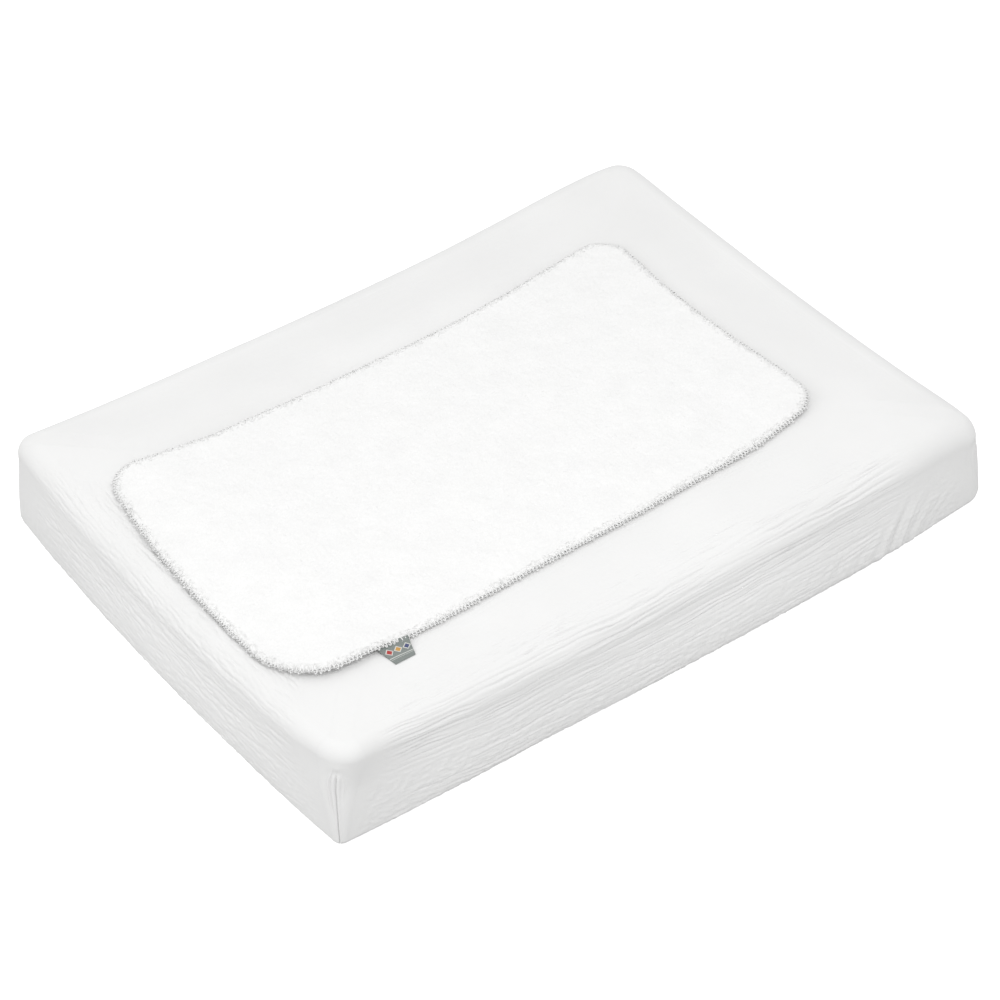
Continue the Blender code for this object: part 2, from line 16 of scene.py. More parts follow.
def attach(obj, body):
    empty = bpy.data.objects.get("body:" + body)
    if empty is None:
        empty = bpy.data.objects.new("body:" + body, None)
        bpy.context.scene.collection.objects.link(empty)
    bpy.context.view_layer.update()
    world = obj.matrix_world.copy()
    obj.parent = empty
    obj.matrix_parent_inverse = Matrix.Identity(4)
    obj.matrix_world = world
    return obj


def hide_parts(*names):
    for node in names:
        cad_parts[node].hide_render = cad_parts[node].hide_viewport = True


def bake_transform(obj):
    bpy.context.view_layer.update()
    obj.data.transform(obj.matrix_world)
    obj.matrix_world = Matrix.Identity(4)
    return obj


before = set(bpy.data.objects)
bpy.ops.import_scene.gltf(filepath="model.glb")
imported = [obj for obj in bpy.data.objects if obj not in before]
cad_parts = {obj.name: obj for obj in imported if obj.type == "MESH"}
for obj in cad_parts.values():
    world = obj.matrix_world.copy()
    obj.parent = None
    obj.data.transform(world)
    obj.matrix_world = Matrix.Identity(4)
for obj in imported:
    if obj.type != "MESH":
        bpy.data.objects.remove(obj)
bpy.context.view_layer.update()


MM = 0.001
rng = np.random.default_rng(7)

# ------------------------------------------------------------------ noise and curves


def lattice(ix, iy, seed):
    """A repeatable 32-bit hash of lattice cells."""
    code = ix.astype(np.int64) * 374761393 + iy.astype(np.int64) * 668265263
    code = (code + seed * 2246822519) & 0xFFFFFFFF
    code = ((code ^ (code >> 13)) * 1274126177) & 0xFFFFFFFF
    code = ((code ^ (code >> 16)) * 2654435761) & 0xFFFFFFFF
    return (code ^ (code >> 15)) & 0xFFFFFFFF


def rand01(ix, iy, seed):
    return lattice(np.asarray(ix), np.asarray(iy), seed) / 4294967296.0


def mix(start, end, share):
    return start * (1 - share) + end * share


def smooth(low, high, x):
    """Smoothstep from 0 at low to 1 at high."""
    share = np.clip((x - low) / (high - low), 0, 1)
    return share * share * (3 - 2 * share)


def noise(x, y, seed):
    """Gradient noise, about -1..1."""
    cell_x, cell_y = np.floor(x), np.floor(y)
    in_x, in_y = x - cell_x, y - cell_y
    ix, iy = cell_x.astype(np.int64), cell_y.astype(np.int64)

    def corner(step_x, step_y):
        angle = lattice(ix + step_x, iy + step_y, seed) * (2 * math.pi / 4294967296.0)
        return np.cos(angle) * (in_x - step_x) + np.sin(angle) * (in_y - step_y)

    def fade(part):
        return part * part * part * (part * (part * 6 - 15) + 10)

    front = mix(corner(0, 0), corner(1, 0), fade(in_x))
    back = mix(corner(0, 1), corner(1, 1), fade(in_x))
    return mix(front, back, fade(in_y)) * 1.5


def curve(x, places, values, soft=0.022):
    """A table read smoothly: straight segments rounded over about soft metres."""
    grid = np.linspace(-0.46, 0.46, 921)
    kernel = np.exp(-0.5 * (np.arange(-80, 81) * 0.001 / soft) ** 2)
    padded = np.pad(np.interp(grid, places, values), 80, mode="edge")
    return np.interp(x, grid, np.convolve(padded, kernel / kernel.sum(), mode="valid"))


# ------------------------------------------------------------------ mesh helpers


def mesh_object(name, verts, faces):
    """A smooth mesh from arrays; faces is a list of n x sides index arrays, or single loops."""
    mesh = bpy.data.meshes.new(name)
    verts = np.asarray(verts, np.float32).reshape(-1, 3)
    loops, starts, totals = [], [], []
    used = 0
    for block in faces:
        block = np.atleast_2d(np.asarray(block, np.int32))
        sides = block.shape[1]
        loops.append(block.ravel())
        starts.append(used + np.arange(len(block)) * sides)
        totals.append(np.full(len(block), sides))
        used += block.size
    loops, starts, totals = [np.concatenate(q).astype(np.int32) for q in (loops, starts, totals)]
    mesh.vertices.add(len(verts))
    mesh.vertices.foreach_set("co", verts.ravel())
    mesh.loops.add(len(loops))
    mesh.loops.foreach_set("vertex_index", loops)
    mesh.polygons.add(len(starts))
    mesh.polygons.foreach_set("loop_start", starts)
    mesh.polygons.foreach_set("loop_total", totals)
    mesh.update(calc_edges=True)
    mesh.validate()
    mesh.polygons.foreach_set("use_smooth", np.full(len(mesh.polygons), True))
    ob = bpy.data.objects.new(name, mesh)
    bpy.context.scene.collection.objects.link(ob)
    return ob


def face_outwards(ob):
    """Flip a closed mesh whose enclosed volume comes out negative."""
    mesh = ob.data
    mesh.calc_loop_triangles()
    corners = np.empty(len(mesh.loop_triangles) * 3, np.int32)
    mesh.loop_triangles.foreach_get("vertices", corners)
    places = np.empty(len(mesh.vertices) * 3, np.float32)
    mesh.vertices.foreach_get("co", places)
    tri = places.reshape(-1, 3).astype(float)[corners.reshape(-1, 3)]
    if np.einsum("ij,ij->i", tri[:, 0], np.cross(tri[:, 1], tri[:, 2])).sum() < 0:
        mesh.flip_normals()


def closed_object(name, verts, faces):
    """A mesh object whose face directions are made to agree and point outwards."""
    ob = mesh_object(name, verts, faces)
    bm = bmesh.new()
    bm.from_mesh(ob.data)
    bmesh.ops.recalc_face_normals(bm, faces=bm.faces)
    bm.to_mesh(ob.data)
    bm.free()
    face_outwards(ob)
    return ob


def add_weave_uv(ob, uv):
    """uv: one (u, v) for each vertex."""
    layer = ob.data.uv_layers.new(name="weave")
    corners = np.empty(len(ob.data.loops), np.int32)
    ob.data.loops.foreach_get("vertex_index", corners)
    layer.data.foreach_set("uv", np.asarray(uv, np.float32)[corners].ravel())


def unit(vectors):
    return vectors / (np.linalg.norm(vectors, axis=-1, keepdims=True) + 1e-12)


def ring_around(centres, side, up, radius, sides):
    """Circles of points round centres, in the plane of side and up."""
    angle = (np.arange(sides) * 2 * math.pi / sides)[:, None]
    return centres[..., None, :] + radius * (
        np.cos(angle) * side[..., None, :] + np.sin(angle) * up[..., None, :])


def tube_mesh(paths, radius, sides=5):
    """Capped tubes along paths (tubes x stations x 3). Returns verts and face blocks."""
    tubes, stations, _ = paths.shape
    tangent = unit(np.gradient(paths, axis=1))
    side = unit(np.cross(tangent, np.array([0.31, 0.17, 0.93])))
    verts = ring_around(paths, side, np.cross(tangent, side), radius, sides).reshape(-1, 3)
    idx = np.arange(tubes * stations * sides).reshape(tubes, stations, sides)
    low, high = idx[:, :-1], idx[:, 1:]
    quads = np.stack([low, high, np.roll(high, -1, 2), np.roll(low, -1, 2)], -1).reshape(-1, 4)
    return verts, [quads, idx[:, 0], idx[:, -1, ::-1]]


# ------------------------------------------------------------------ cover dimensions
# Corners run front right, rear right, rear left, front left; each side follows its corner.
CORNERS = np.array(((1, -1), (1, 1), (-1, 1), (-1, -1)), float)
CORNER_NAMES = ("front_right", "rear_right", "rear_left", "front_left")
RIGHT, REAR, LEFT, FRONT = range(4)
HALF_X, HALF_Y = 0.400, 0.303
CORNER_RUN = 0.024                   # each side stops this far short of the pad's corner
HALF_RUN = np.array((HALF_Y - CORNER_RUN, HALF_X - CORNER_RUN) * 2)      # half length of each side
TOP_Z = 0.107
DIP = 0.0105                         # the rim is this much lower in the middle of a side

# section dimensions: (at each corner), at the middle of a side
RIM_RADIUS = (0.0270, 0.0250, 0.0210, 0.0160), 0.0300
FOOT_RADIUS = (0.0085, 0.0085, 0.0085, 0.0060), 0.0100
RIM_INSET = (0.0010, 0.0040, 0.0040, 0.0040), -0.0015
FOOT_OUTSET = (0.0036, 0.0040, 0.0040, 0.0024), 0.0118
# plan radius of each corner at the rim and at the foot
PLAN_R_RIM = np.array((0.026, 0.030, 0.024, 0.036))
PLAN_R_FOOT = np.array((0.026, 0.028, 0.026, 0.009))
# how far the rim sags round each corner: x, y, drop, reach
CORNER_DROPS = ((HALF_X, -HALF_Y, 0.0062, 0.034), (HALF_X, HALF_Y, 0.0055, 0.032),
                (-HALF_X, HALF_Y, 0.0, 0.03), (-HALF_X, -HALF_Y, 0.0008, 0.03))

LIP = 0.072                          # width of the lip under the pad
HEM_RADIUS = 0.055
# hem profile in mm: distance in past the lip's edge, height, added plan radius
HEM_FOLD = ((-0.5, 0.8, 0), (-0.5, 2.4, 0), (0, 3.0, 0), (1.0, 3.3, 0), (12, 3.3, 6), (12, 2.4, 6))
HEM_INSIDE = ((0.9, 2.4, 0), (0.9, 0.9, 0))
SHELL = 2.2 * MM                     # thickness of the cover
INNER_RADIUS = 0.014                 # least plan radius of rings well inside the rim
FLAT_INSET = 0.118                   # the dip has died out this far in from the edge
FINE_INSET = 0.126                   # the top's fine rings begin here
RIM_NOMINAL = 0.027                  # typical rim radius, used to count rings
RIM, SIDE, FOOT, UNDER, HEM, INSIDE = range(1, 7)        # zones of the profile
TOP = 0

# unevenness of rims and feet: places along x or y in metres, then offsets in millimetres
REAR_RIM = ((-.40, -.15, -.08, -.014, .045, .098, .152, .21, .276, .33, .357, .40),
            (0, 0, -1.5, -2.8, -3.0, -3.2, -2.2, 0.2, 4.2, 4.4, 2.6, 0))
RIGHT_RIM = ((-.30, -.22, -.12, 0, .12, .22, .30),
             (-1.5, -2.6, -3.0, -3.0, -2.4, -2.6, -2.0))
FRONT_FOOT = ((-.40, -.36, -.308, -.233, -.173, -.12, -.072, -.025,
               .025, .079, .14, .223, .30, .34, .40),
              (0.6, 1.6, 1.6, 1.9, 0.6, 1.0, 2.0, 2.9, 3.6, 4.6, 5.5, 6.5, 4.4, 2.0, 0.4))
LEFT_FOOT = ((-.30, -.20, -.115, -.03, .06, .16, .27, .30),
             (-1.2, 0.9, 1.7, 2.8, 2.8, 2.2, 1.2, 0))

CREASE_STRENGTH = (0.90, 0.95, 1.15, 1.80)               # right, rear, left, front
# drag lines at the front foot: x at the foot, sideways lean, height, depth mm (+ out), width mm
DRAG_LINES = (
    (0.172, 0.020, 0.034, 0.55, 2.4), (0.184, 0.024, 0.040, -0.85, 2.0),
    (0.197, 0.026, 0.042, 0.7, 2.4), (0.213, 0.024, 0.036, -0.75, 2.0),
    (0.226, 0.028, 0.038, 0.4, 2.2), (0.236, 0.030, 0.042, -0.6, 2.0),
    (0.248, 0.034, 0.050, 1.3, 2.8), (0.2600, 0.035, 0.052, -2.4, 2.6),
    (0.273, 0.037, 0.052, 1.6, 2.7), (0.284, 0.038, 0.050, -1.2, 1.8),
    (0.293, 0.040, 0.046, 0.9, 2.0), (0.302, 0.040, 0.040, -0.8, 1.8),
    (0.312, 0.040, 0.034, -0.45, 1.8), (0.020, 0.012, 0.034, -0.6, 2.0),
    (0.034, 0.014, 0.038, 0.5, 2.2), (0.046, 0.016, 0.030, -0.5, 1.8),
    (-0.012, 0.008, 0.028, -0.5, 1.8), (-0.120, -0.004, 0.030, -0.4, 2.0))

SEAM_TOP = 0.0235                    # profile length below the rim where a corner seam starts
SEAM_LEAN = 0.10                     # the seam leans this much sideways as it runs down
# puckers beside a corner seam: offset mm, depth mm (+ out), width mm, length m
PUCKERS = (
    (-7.2, -1.15, 1.25, 0.052), (-10.0, 0.60, 1.4, 0.046), (-13.0, -0.55, 1.3, 0.048),
    (-17.0, -0.35, 1.6, 0.038), (-21.5, -0.22, 2.0, 0.030), (6.6, -0.65, 1.1, 0.036),
    (9.2, 0.42, 1.3, 0.030), (12.0, -0.36, 1.3, 0.028), (16.0, -0.22, 1.7, 0.022))

# ------------------------------------------------------------------ cover form


def soften(share):
    """0 to 1, eased so that it leaves zero without a kink."""
    return (1.08 * share * share / (share + 0.08)) ** 0.8


def perimeter(step, corner_steps):
    """Samples round the pad, counter-clockwise from the front right corner."""
    rows = []                        # start corner, end corner, share, angle, pos, side, turn
    for k in range(4):
        angle = 0.5 * math.pi * (k - 1)
        # samples crowd towards the seam in the middle of the corner
        for i in range(corner_steps + 1):
            turn = 2 * i / corner_steps - 1
            turn = 0.55 * turn + 0.45 * turn * abs(turn)
            pos = -1.0 if turn > 0 else 1.0
            rows.append((k, k, 0, angle + 0.25 * math.pi * (turn + 1), pos, -1 - k, turn))
        count = int(round(2 * HALF_RUN[k] / step))
        for i in range(1, count):
            pos = 2 * i / count - 1
            rows.append((k, (k + 1) % 4, i / count, angle + 0.5 * math.pi, pos, k, 0))
    start, end, share, angle, pos, side, turn = np.array(rows, float).T
    start, end = start.astype(int), end.astype(int)
    middle = soften(np.clip(1 - pos ** 2, 0, 1))         # 1 in the middle of a side
    corner = side < 0
    half = HALF_RUN[start]
    return SimpleNamespace(
        start=start, end=end, share=share, pos=pos, side=side, turn=turn, middle=middle,
        way_x=np.cos(angle), way_y=np.sin(angle),
        weight_start=np.where(corner, 1.0, (1 - middle) * (1 - pos) / 2),
        weight_end=np.where(corner, 0.0, (1 - middle) * (1 + pos) / 2),
        run=np.where(corner, 0.0, pos * half),           # from the middle of the side
        near=(1 - np.abs(pos)) * half)                   # from the nearer corner


def section(around, at_corners, at_middle):
    """A section dimension that goes from each corner's value to the side's."""
    at_corners = np.array(at_corners)
    first, last = around.weight_start, around.weight_end
    base = first * at_corners[around.start] + last * at_corners[around.end]
    return base + (1 - (first + last)) * at_middle


def foot_outset(around):
    """Outset of the foot, with the unevenness of the front and left sides."""
    side, run = around.side, around.run
    out = section(around, *FOOT_OUTSET)
    out = out + MM * np.where(side == FRONT, curve(run, *FRONT_FOOT), 0)
    out = out + MM * np.where(side == LEFT, curve(-run, *LEFT_FOOT), 0)
    # each corner carries on from the feet of the two sides that meet there
    end_y, end_x = HALF_RUN[:2]
    meets = ((curve(end_x, *FRONT_FOOT), 0.0), (0.0, 0.0), (0.0, curve(end_y, *LEFT_FOOT)),
             (curve(-end_y, *LEFT_FOOT), curve(-end_x, *FRONT_FOOT)))
    for k, (first, last) in enumerate(meets):
        blend = first + (last - first) * smooth(-1, 1, around.turn)
        out = out + MM * np.where(side == -1 - k, blend, 0)
    return out


def rim_shift(x, y):
    """Unevenness of the rim's height, fading towards the middle of the pad."""
    from_rear, from_right = np.clip(HALF_Y - y, 0, None), np.clip(HALF_X - x, 0, None)
    z = curve(x, *REAR_RIM) * MM * np.exp(-(from_rear / 0.045) ** 2)
    z = z + curve(y, *RIGHT_RIM) * MM * np.exp(-(from_right / 0.045) ** 2)
    for corner_x, corner_y, drop, reach in CORNER_DROPS:
        z = z - drop * np.exp(-((x - corner_x) ** 2 + (y - corner_y) ** 2) / reach ** 2)
    return z


def cover_rings(around, ring_step):
    """Rings from the middle of the top, over the rim, under the lip and back inside.

    Returns points (rings x samples x 3), the zone of each ring, and the number of plain
    rings in the middle of the top.
    """
    middle = around.middle
    rim_r, foot_r = section(around, *RIM_RADIUS), section(around, *FOOT_RADIUS)
    inset, out = section(around, *RIM_INSET), foot_outset(around)
    rim_z = TOP_Z - DIP * middle
    # room behind the rear side
    clear = 2.4 * MM * smooth(0.0, 0.12, 1 - np.abs(around.pos))
    clear = np.where(around.side == REAR, clear, 0)
    ones = np.ones(len(middle))
    edge = inset + rim_r                                 # inset where the rim's arc begins
    rings, zones = [], []

    def place(offset, z, zone, first_r, last_r):
        """A ring offset outwards, with plan radii at each sample's start and end corners."""
        plan = []
        for axis, half, way in ((0, HALF_X, around.way_x), (1, HALF_Y, around.way_y)):
            first = CORNERS[around.start, axis] * (half + offset - first_r)
            last = CORNERS[around.end, axis] * (half + offset - last_r)
            plan.append(mix(first, last, around.share) + way * mix(first_r, last_r, around.share))
        rings.append(np.stack([*plan, z * ones], 1))
        zones.append(zone)

    def shaped(offset, z, zone, down):
        """A ring with the corners' own radii; down goes from 0 at the rim to 1 at the foot."""
        radii, least = mix(PLAN_R_RIM, PLAN_R_FOOT, down), mix(INNER_RADIUS, 0.006, down)
        place(offset, z, zone, np.maximum(radii[around.start] + offset, least),
              np.maximum(radii[around.end] + offset, least))

    def fixed(offset, z, zone, radii):
        """A ring with given radii: one, or one for each corner."""
        radii = radii * np.ones(4)
        place(offset, z, zone, radii[around.start], radii[around.end])

    def dipped(distance):
        return TOP_Z - DIP * middle * (1 - smooth(edge, FLAT_INSET, distance))

    def side_ease(share):
        return share * share * (3 - 2 * share) * 0.5 + share * 0.5

    # top, from the middle outwards
    plain = [*np.arange(0.270, 0.150, -0.008), *np.arange(0.150, 0.128, -0.004)]
    for distance in plain:
        shaped(-distance, TOP_Z, TOP, 0.0)
    count = int(round((FINE_INSET - RIM_NOMINAL) / (ring_step * 1.2)))
    for i in range(count):
        distance = mix(FINE_INSET, edge, i / count)
        shaped(-distance, dipped(distance), TOP, 0.0)
    count = int(round(0.5 * math.pi * RIM_NOMINAL / ring_step))
    for i in range(count + 1):
        angle = 0.5 * math.pi * i / count
        shaped(-inset - rim_r + rim_r * math.sin(angle),
               rim_z - rim_r + rim_r * math.cos(angle), RIM, 0.0)
    count = int(round(0.066 / ring_step))
    for i in range(1, count):
        share = i / count
        ease = side_ease(share)
        bulge = (0.0012 * middle + clear) * 4 * share * (1 - share)
        shaped(mix(-inset, out, ease) + bulge, mix(rim_z - rim_r, foot_r, share), SIDE, ease)
    count = 16
    for i in range(count + 1):
        angle = 0.5 * math.pi * i / count
        shaped(out - foot_r + foot_r * math.cos(angle),
               foot_r - foot_r * math.sin(angle), FOOT, 1.0)

    # lip under the pad, folded hem, and the lip's upper face
    count = 22
    plan_r = np.maximum(PLAN_R_FOOT - 0.002, 0.007)
    for i in range(1, count + 1):
        share = i / count
        fixed(-mix(-(out - foot_r), LIP, share), 0.0, UNDER, mix(plan_r, HEM_RADIUS, share))
    for zone, profile in ((HEM, HEM_FOLD), (INSIDE, HEM_INSIDE)):
        for inwards, z, added in profile:
            fixed(-LIP + inwards * MM, z * MM, zone, HEM_RADIUS + added * MM)
    for share, z in ((0.15, 2.7), (0.45, 2.7), (0.75, 2.7), (1.0, 1.2)):
        fixed(-mix(LIP, foot_r - out + 0.002, share), z * MM, INSIDE,
              mix(HEM_RADIUS, plan_r + 0.003, share))

    # inner face, from the foot back up to the middle of the top
    arc_r = foot_r - SHELL * 0.8
    for i in range(1, 4):
        angle = 0.5 * math.pi * i / 3
        shaped(out - foot_r + arc_r * math.sin(angle), foot_r - arc_r * math.cos(angle),
               INSIDE, 1.0)
    for i in range(1, 6):
        share = i / 6
        ease = side_ease(share)
        shaped(mix(out, -inset, ease) - SHELL + clear * 4 * share * (1 - share),
               mix(foot_r, rim_z - rim_r, share), INSIDE, 1 - ease)
    arc_r = rim_r - SHELL
    for i in range(7):
        angle = 0.5 * math.pi * i / 6
        shaped(-inset - rim_r + arc_r * math.cos(angle),
               rim_z - rim_r + arc_r * math.sin(angle), INSIDE, 0.0)
    for share in (0.2, 0.45, 0.7, 1.0):
        distance = mix(edge, FINE_INSET, share)
        fixed(-distance, dipped(distance) - SHELL, INSIDE, INNER_RADIUS)
    for distance in (0.200, 0.270):
        fixed(-distance, TOP_Z - SHELL, INSIDE, INNER_RADIUS)

    points = np.array(rings)
    # the front left corner of the rim is drawn a little towards the front
    x, y, z = np.moveaxis(points, -1, 0)
    pull = np.exp(-((x + 0.388) / 0.046) ** 2 - ((y + 0.292) / 0.036) ** 2)
    pull = pull * smooth(0.055, 0.098, z)
    x += 0.0035 * pull
    y -= 0.0060 * pull
    z += rim_shift(x, y) * np.clip(z / TOP_Z, 0, 1) ** 1.5
    return points, np.array(zones), len(plain)


def dip_at(x, y):
    """How far the rim's dip lowers the top at a plan point; matches the rings."""
    total = 0
    for across, half, other, half_other in ((y, HALF_Y, x, HALF_X), (x, HALF_X, y, HALF_Y)):
        along = np.abs(other) / (half_other - CORNER_RUN)
        fade = 1 - smooth(CORNER_RUN, FLAT_INSET, half - np.abs(across))
        total = total + soften(np.clip(1 - along ** 2, 0, 1)) * fade
    return DIP * np.minimum(1.0, total)


def top_swell(x, y):
    """Slow unevenness of the top, under a millimetre."""
    return 0.45 * MM * noise(x / 0.16, y / 0.13, 41) + 0.20 * MM * noise(x / 0.07, y / 0.05, 42)


def cover_top(x, y):
    return TOP_Z - dip_at(x, y) + top_swell(x, y)


# ------------------------------------------------------------------ cover relief


def crinkle(run, across, seed, length=0.075, pitch=0.0036):
    """Long fine creases along run, about a pitch apart across it. Returns metres."""
    across = across + (0.0040 * noise(run / 0.15, across / 0.055, seed + 1)
                       + 0.0011 * noise(run / 0.030, across / 0.020, seed + 2))

    def grooves(spacing, wander, stretch, cells, noise_seed):
        drift = noise(run / (length * stretch), across / (spacing * cells), noise_seed)
        return 0.5 + 0.5 * np.cos(6.2832 * (across / spacing + wander * drift))

    wide, narrow = pitch * 1.55, pitch * 0.95
    wide_on = noise(run / (length * 1.2), across / (wide * 1.3), seed + 6)
    narrow_on = noise(run / (length * 0.8), across / (narrow * 1.4), seed + 7)
    swell = noise(run / (length * 1.5), across / (pitch * 2.1), seed + 5)
    nick = noise(run / (length * 0.50), across / (pitch * 0.75), seed + 8)
    return MM * (-0.62 * grooves(wide, 0.55, 1.1, 2.2, seed + 3) ** 2.6
                 * smooth(-0.40, 0.45, wide_on)
                 - 0.42 * grooves(narrow, 0.60, 0.7, 2.4, seed + 4) ** 2.2
                 * smooth(-0.30, 0.50, narrow_on)
                 - 0.16 * np.exp(-(nick / 0.38) ** 2) + 0.20 * swell)


def crease_across(side, down, near):
    """Strength of a side's creases at a profile length down from the rim."""
    if side == FRONT:
        return smooth(-0.056, -0.012, down) * (1 - 0.58 * smooth(0.024, 0.060, down)) + 0.22
    if side == LEFT:                                     # creases carry on over the top
        base = smooth(-0.070, -0.026, down) * (1 - 0.35 * smooth(0.040, 0.075, down)) + 0.16
        return base * (1 - smooth(0.030, 0.060, -down) * (1 - smooth(0.05, 0.12, near)))
    if side == REAR:
        fade = 1 - 0.5 * smooth(0.040, 0.075, down)
        return 0.90 * smooth(-0.030, 0.000, down) * fade + 0.22
    return 0.75 * smooth(-0.020, 0.010, down) * (1 - 0.5 * smooth(0.045, 0.080, down)) + 0.10


def side_relief(side, run, down, near, pos):
    """Creases, puckers, gathers and waves of one side."""
    seed = 100 * (side + 1)
    if side == LEFT:
        base = crinkle(run, down, seed, 0.034, 0.0052)
        base = base + 0.55 * crinkle(run + 0.35 * down, down - 0.25 * run, seed + 50,
                                     0.020, 0.0048)
        base = base + 0.30 * MM * noise(run / 0.0065, down / 0.0050, seed + 55)
    else:
        base = crinkle(run, down, seed)
    patches = 0.80 + 0.50 * noise(run / 0.15, down / 0.040, seed + 20)
    # the creases die out towards the corners, sooner on the right half of the front
    fan = 0.016
    if side == FRONT:
        fan = np.where(pos > 0, 0.050 + 0.020 * smooth(0.0, 0.05, down), 0.010)
    ends = smooth(fan, fan + 0.070, near + 0.014 * noise(run / 0.05, down / 0.02, seed + 21))
    if side == FRONT:                                    # smoothed between the drag lines
        lines = np.exp(-((run - 0.276) / 0.034) ** 2)
        ends = ends * (1 - 0.75 * lines * smooth(0.040, 0.065, down))
    relief = (base * CREASE_STRENGTH[side] * np.clip(patches, 0.25, 1.3)
              * np.clip(crease_across(side, down, near), 0, 1.35) * ends)

    # fine cross crinkle, growing towards the foot
    pucker = (noise((run + 0.25 * down) / 0.0040, down / 0.017, seed + 30)
              + 0.8 * noise(run / 0.0080, down / 0.0036, seed + 31))
    relief += ((0.58 if side == FRONT else 0.38) * MM * pucker
               * (0.16 + 0.84 * smooth(0.022, 0.070, down))
               * smooth(-0.05, 0.00, down) * smooth(0.0, 0.03, near))
    # broader folds that start at the foot
    reach = 0.016 + 0.016 * (0.5 + 0.5 * noise(run / 0.045, 0.3, seed + 33))
    pull = np.exp(-np.clip(0.098 - down, 0, None) / reach)
    bend = 0.30 * noise(down / 0.02, run / 0.06, seed + 34)
    fold = noise(run / 0.0085 + bend, down / 0.050, seed + 35)
    lively = 0.30 + 0.70 * smooth(-0.25, 0.45, noise(run / 0.10, 3.7, seed + 36))
    relief += 0.62 * MM * fold * pull * lively * smooth(0.020, 0.090, near)
    # big soft waves of the loose cloth
    relief += (0.55 * MM * noise(run / 0.115, down / 0.070, seed + 37)
               * smooth(-0.01, 0.03, down) * smooth(0.03, 0.12, near))
    return relief


def drag_relief(x, z):
    """Swooping drag lines at the foot of the front side, most of them near its right end."""
    z = np.clip(z, 0, 1)
    relief = np.zeros(x.shape)
    for foot_x, lean, height, depth, width in DRAG_LINES:
        climb = np.clip(z / height, 0, 1.4)
        line = foot_x + lean * climb ** 1.5
        relief += (depth * MM * np.exp(-((x - line) / (width * MM)) ** 2)
                   * (1 - smooth(0.50, 1.15, climb)) * (0.40 + 0.60 * smooth(0.0, 0.011, z)))
    return relief


def seam_shift(below):
    """Sideways place of a corner's seam at a profile length below the seam's top."""
    wobble = 0.0010 * noise(below / 0.022, 1.5, 610) * smooth(0, 0.02, below)
    return SEAM_LEAN * (below - 0.030) - wobble


def seam_relief(gap, below):
    """Boxed corner seam, with the puckers it draws."""
    gap = gap - seam_shift(below)
    start = smooth(-0.001, 0.008, below)

    def bump(centre, width):
        return np.exp(-((gap - centre * MM) / (width * MM)) ** 2)

    relief = -1.9 * MM * bump(0, 0.85) * start
    ridge = 0.95 * MM * (1 - 0.45 * smooth(0.02, 0.07, below)) * start
    relief += ridge * bump(3.3, 1.9) + 0.8 * ridge * bump(-3.5, 2.1)
    # the top of the seam sits in a small dimple with a raised lip over it
    relief -= 0.9 * MM * np.exp(-(gap / 0.003) ** 2 - (below / 0.0040) ** 2)
    relief += 0.5 * MM * np.exp(-(gap / 0.008) ** 2 - ((below + 0.007) / 0.0045) ** 2)
    # puckers fan out from the seam's head and run down beside it
    for offset, depth, width, length in PUCKERS:
        bend = offset * (0.42 + 0.58 * smooth(-0.008, 0.018, below)
                         - 0.25 * smooth(0.030, 0.060, below))
        head = -0.008 - 0.10 * abs(offset) * MM
        relief += (depth * MM * bump(bend, width) * smooth(head, 0.006, below)
                   * (1 - smooth(length * 0.6, length, below)))
    # short slanting ticks beside the seam
    tick = noise((below + 0.9 * gap) / 0.0028, gap / 0.009, 620)
    return relief + 0.16 * MM * tick * np.exp(-((gap - 0.008) / 0.006) ** 2) * start


def seam_gaps(around, rim_ring):
    """Signed distance of each sample from the nearest seam, and each seam's sample."""
    gaps = np.full(len(rim_ring), 9.0)
    centres = []
    for k in range(4):
        columns = np.nonzero(around.side == -1 - k)[0]
        centre = columns[np.argmin(np.abs(around.turn[columns]))]
        centres.append(centre)
        gaps[centre] = 0.0
        for sign in (1, -1):
            total, j = 0.0, centre
            while total < 0.075:
                following = (j + sign) % len(rim_ring)
                total += float(np.linalg.norm(rim_ring[following] - rim_ring[j]))
                gaps[following] = sign * total
                j = following
    return gaps, centres


def lift(points, zones):
    """Height added to the top, to the gathered lip under the pad and to the hem."""
    x, y, _ = np.moveaxis(points, -1, 0)
    top, under, hem = zones == TOP, zones == UNDER, zones == HEM
    added = np.zeros(x.shape)
    inwards = np.minimum(HALF_X - np.abs(x), HALF_Y - np.abs(y))
    added[top] = top_swell(x[top], y[top]) * smooth(0.0, 0.03, inwards[top] - CORNER_RUN)
    # the smooth top still shows faint long creases
    added[top] += 0.085 * crinkle(x[top], y[top], 700, 0.050, 0.0052)
    lip_edge = points[np.nonzero(under)[0][-1]]
    along = np.cumsum(np.linalg.norm(np.diff(lip_edge, axis=0), axis=1))
    along = np.concatenate([[0], along])
    share = np.clip(inwards / LIP, 0, 1)
    wave = noise(along / 0.0100, share * 0.9, 501) + 0.45 * noise(along / 0.0055, share * 1.2, 502)
    gather = np.clip(0.55 + 0.60 * wave[under], 0, 1.25)
    added[under] = gather * smooth(0.30, 1.0, share[under]) ** 0.8 * 1.75 * MM
    added[hem] = 0.12 * MM * wave[hem]
    return added


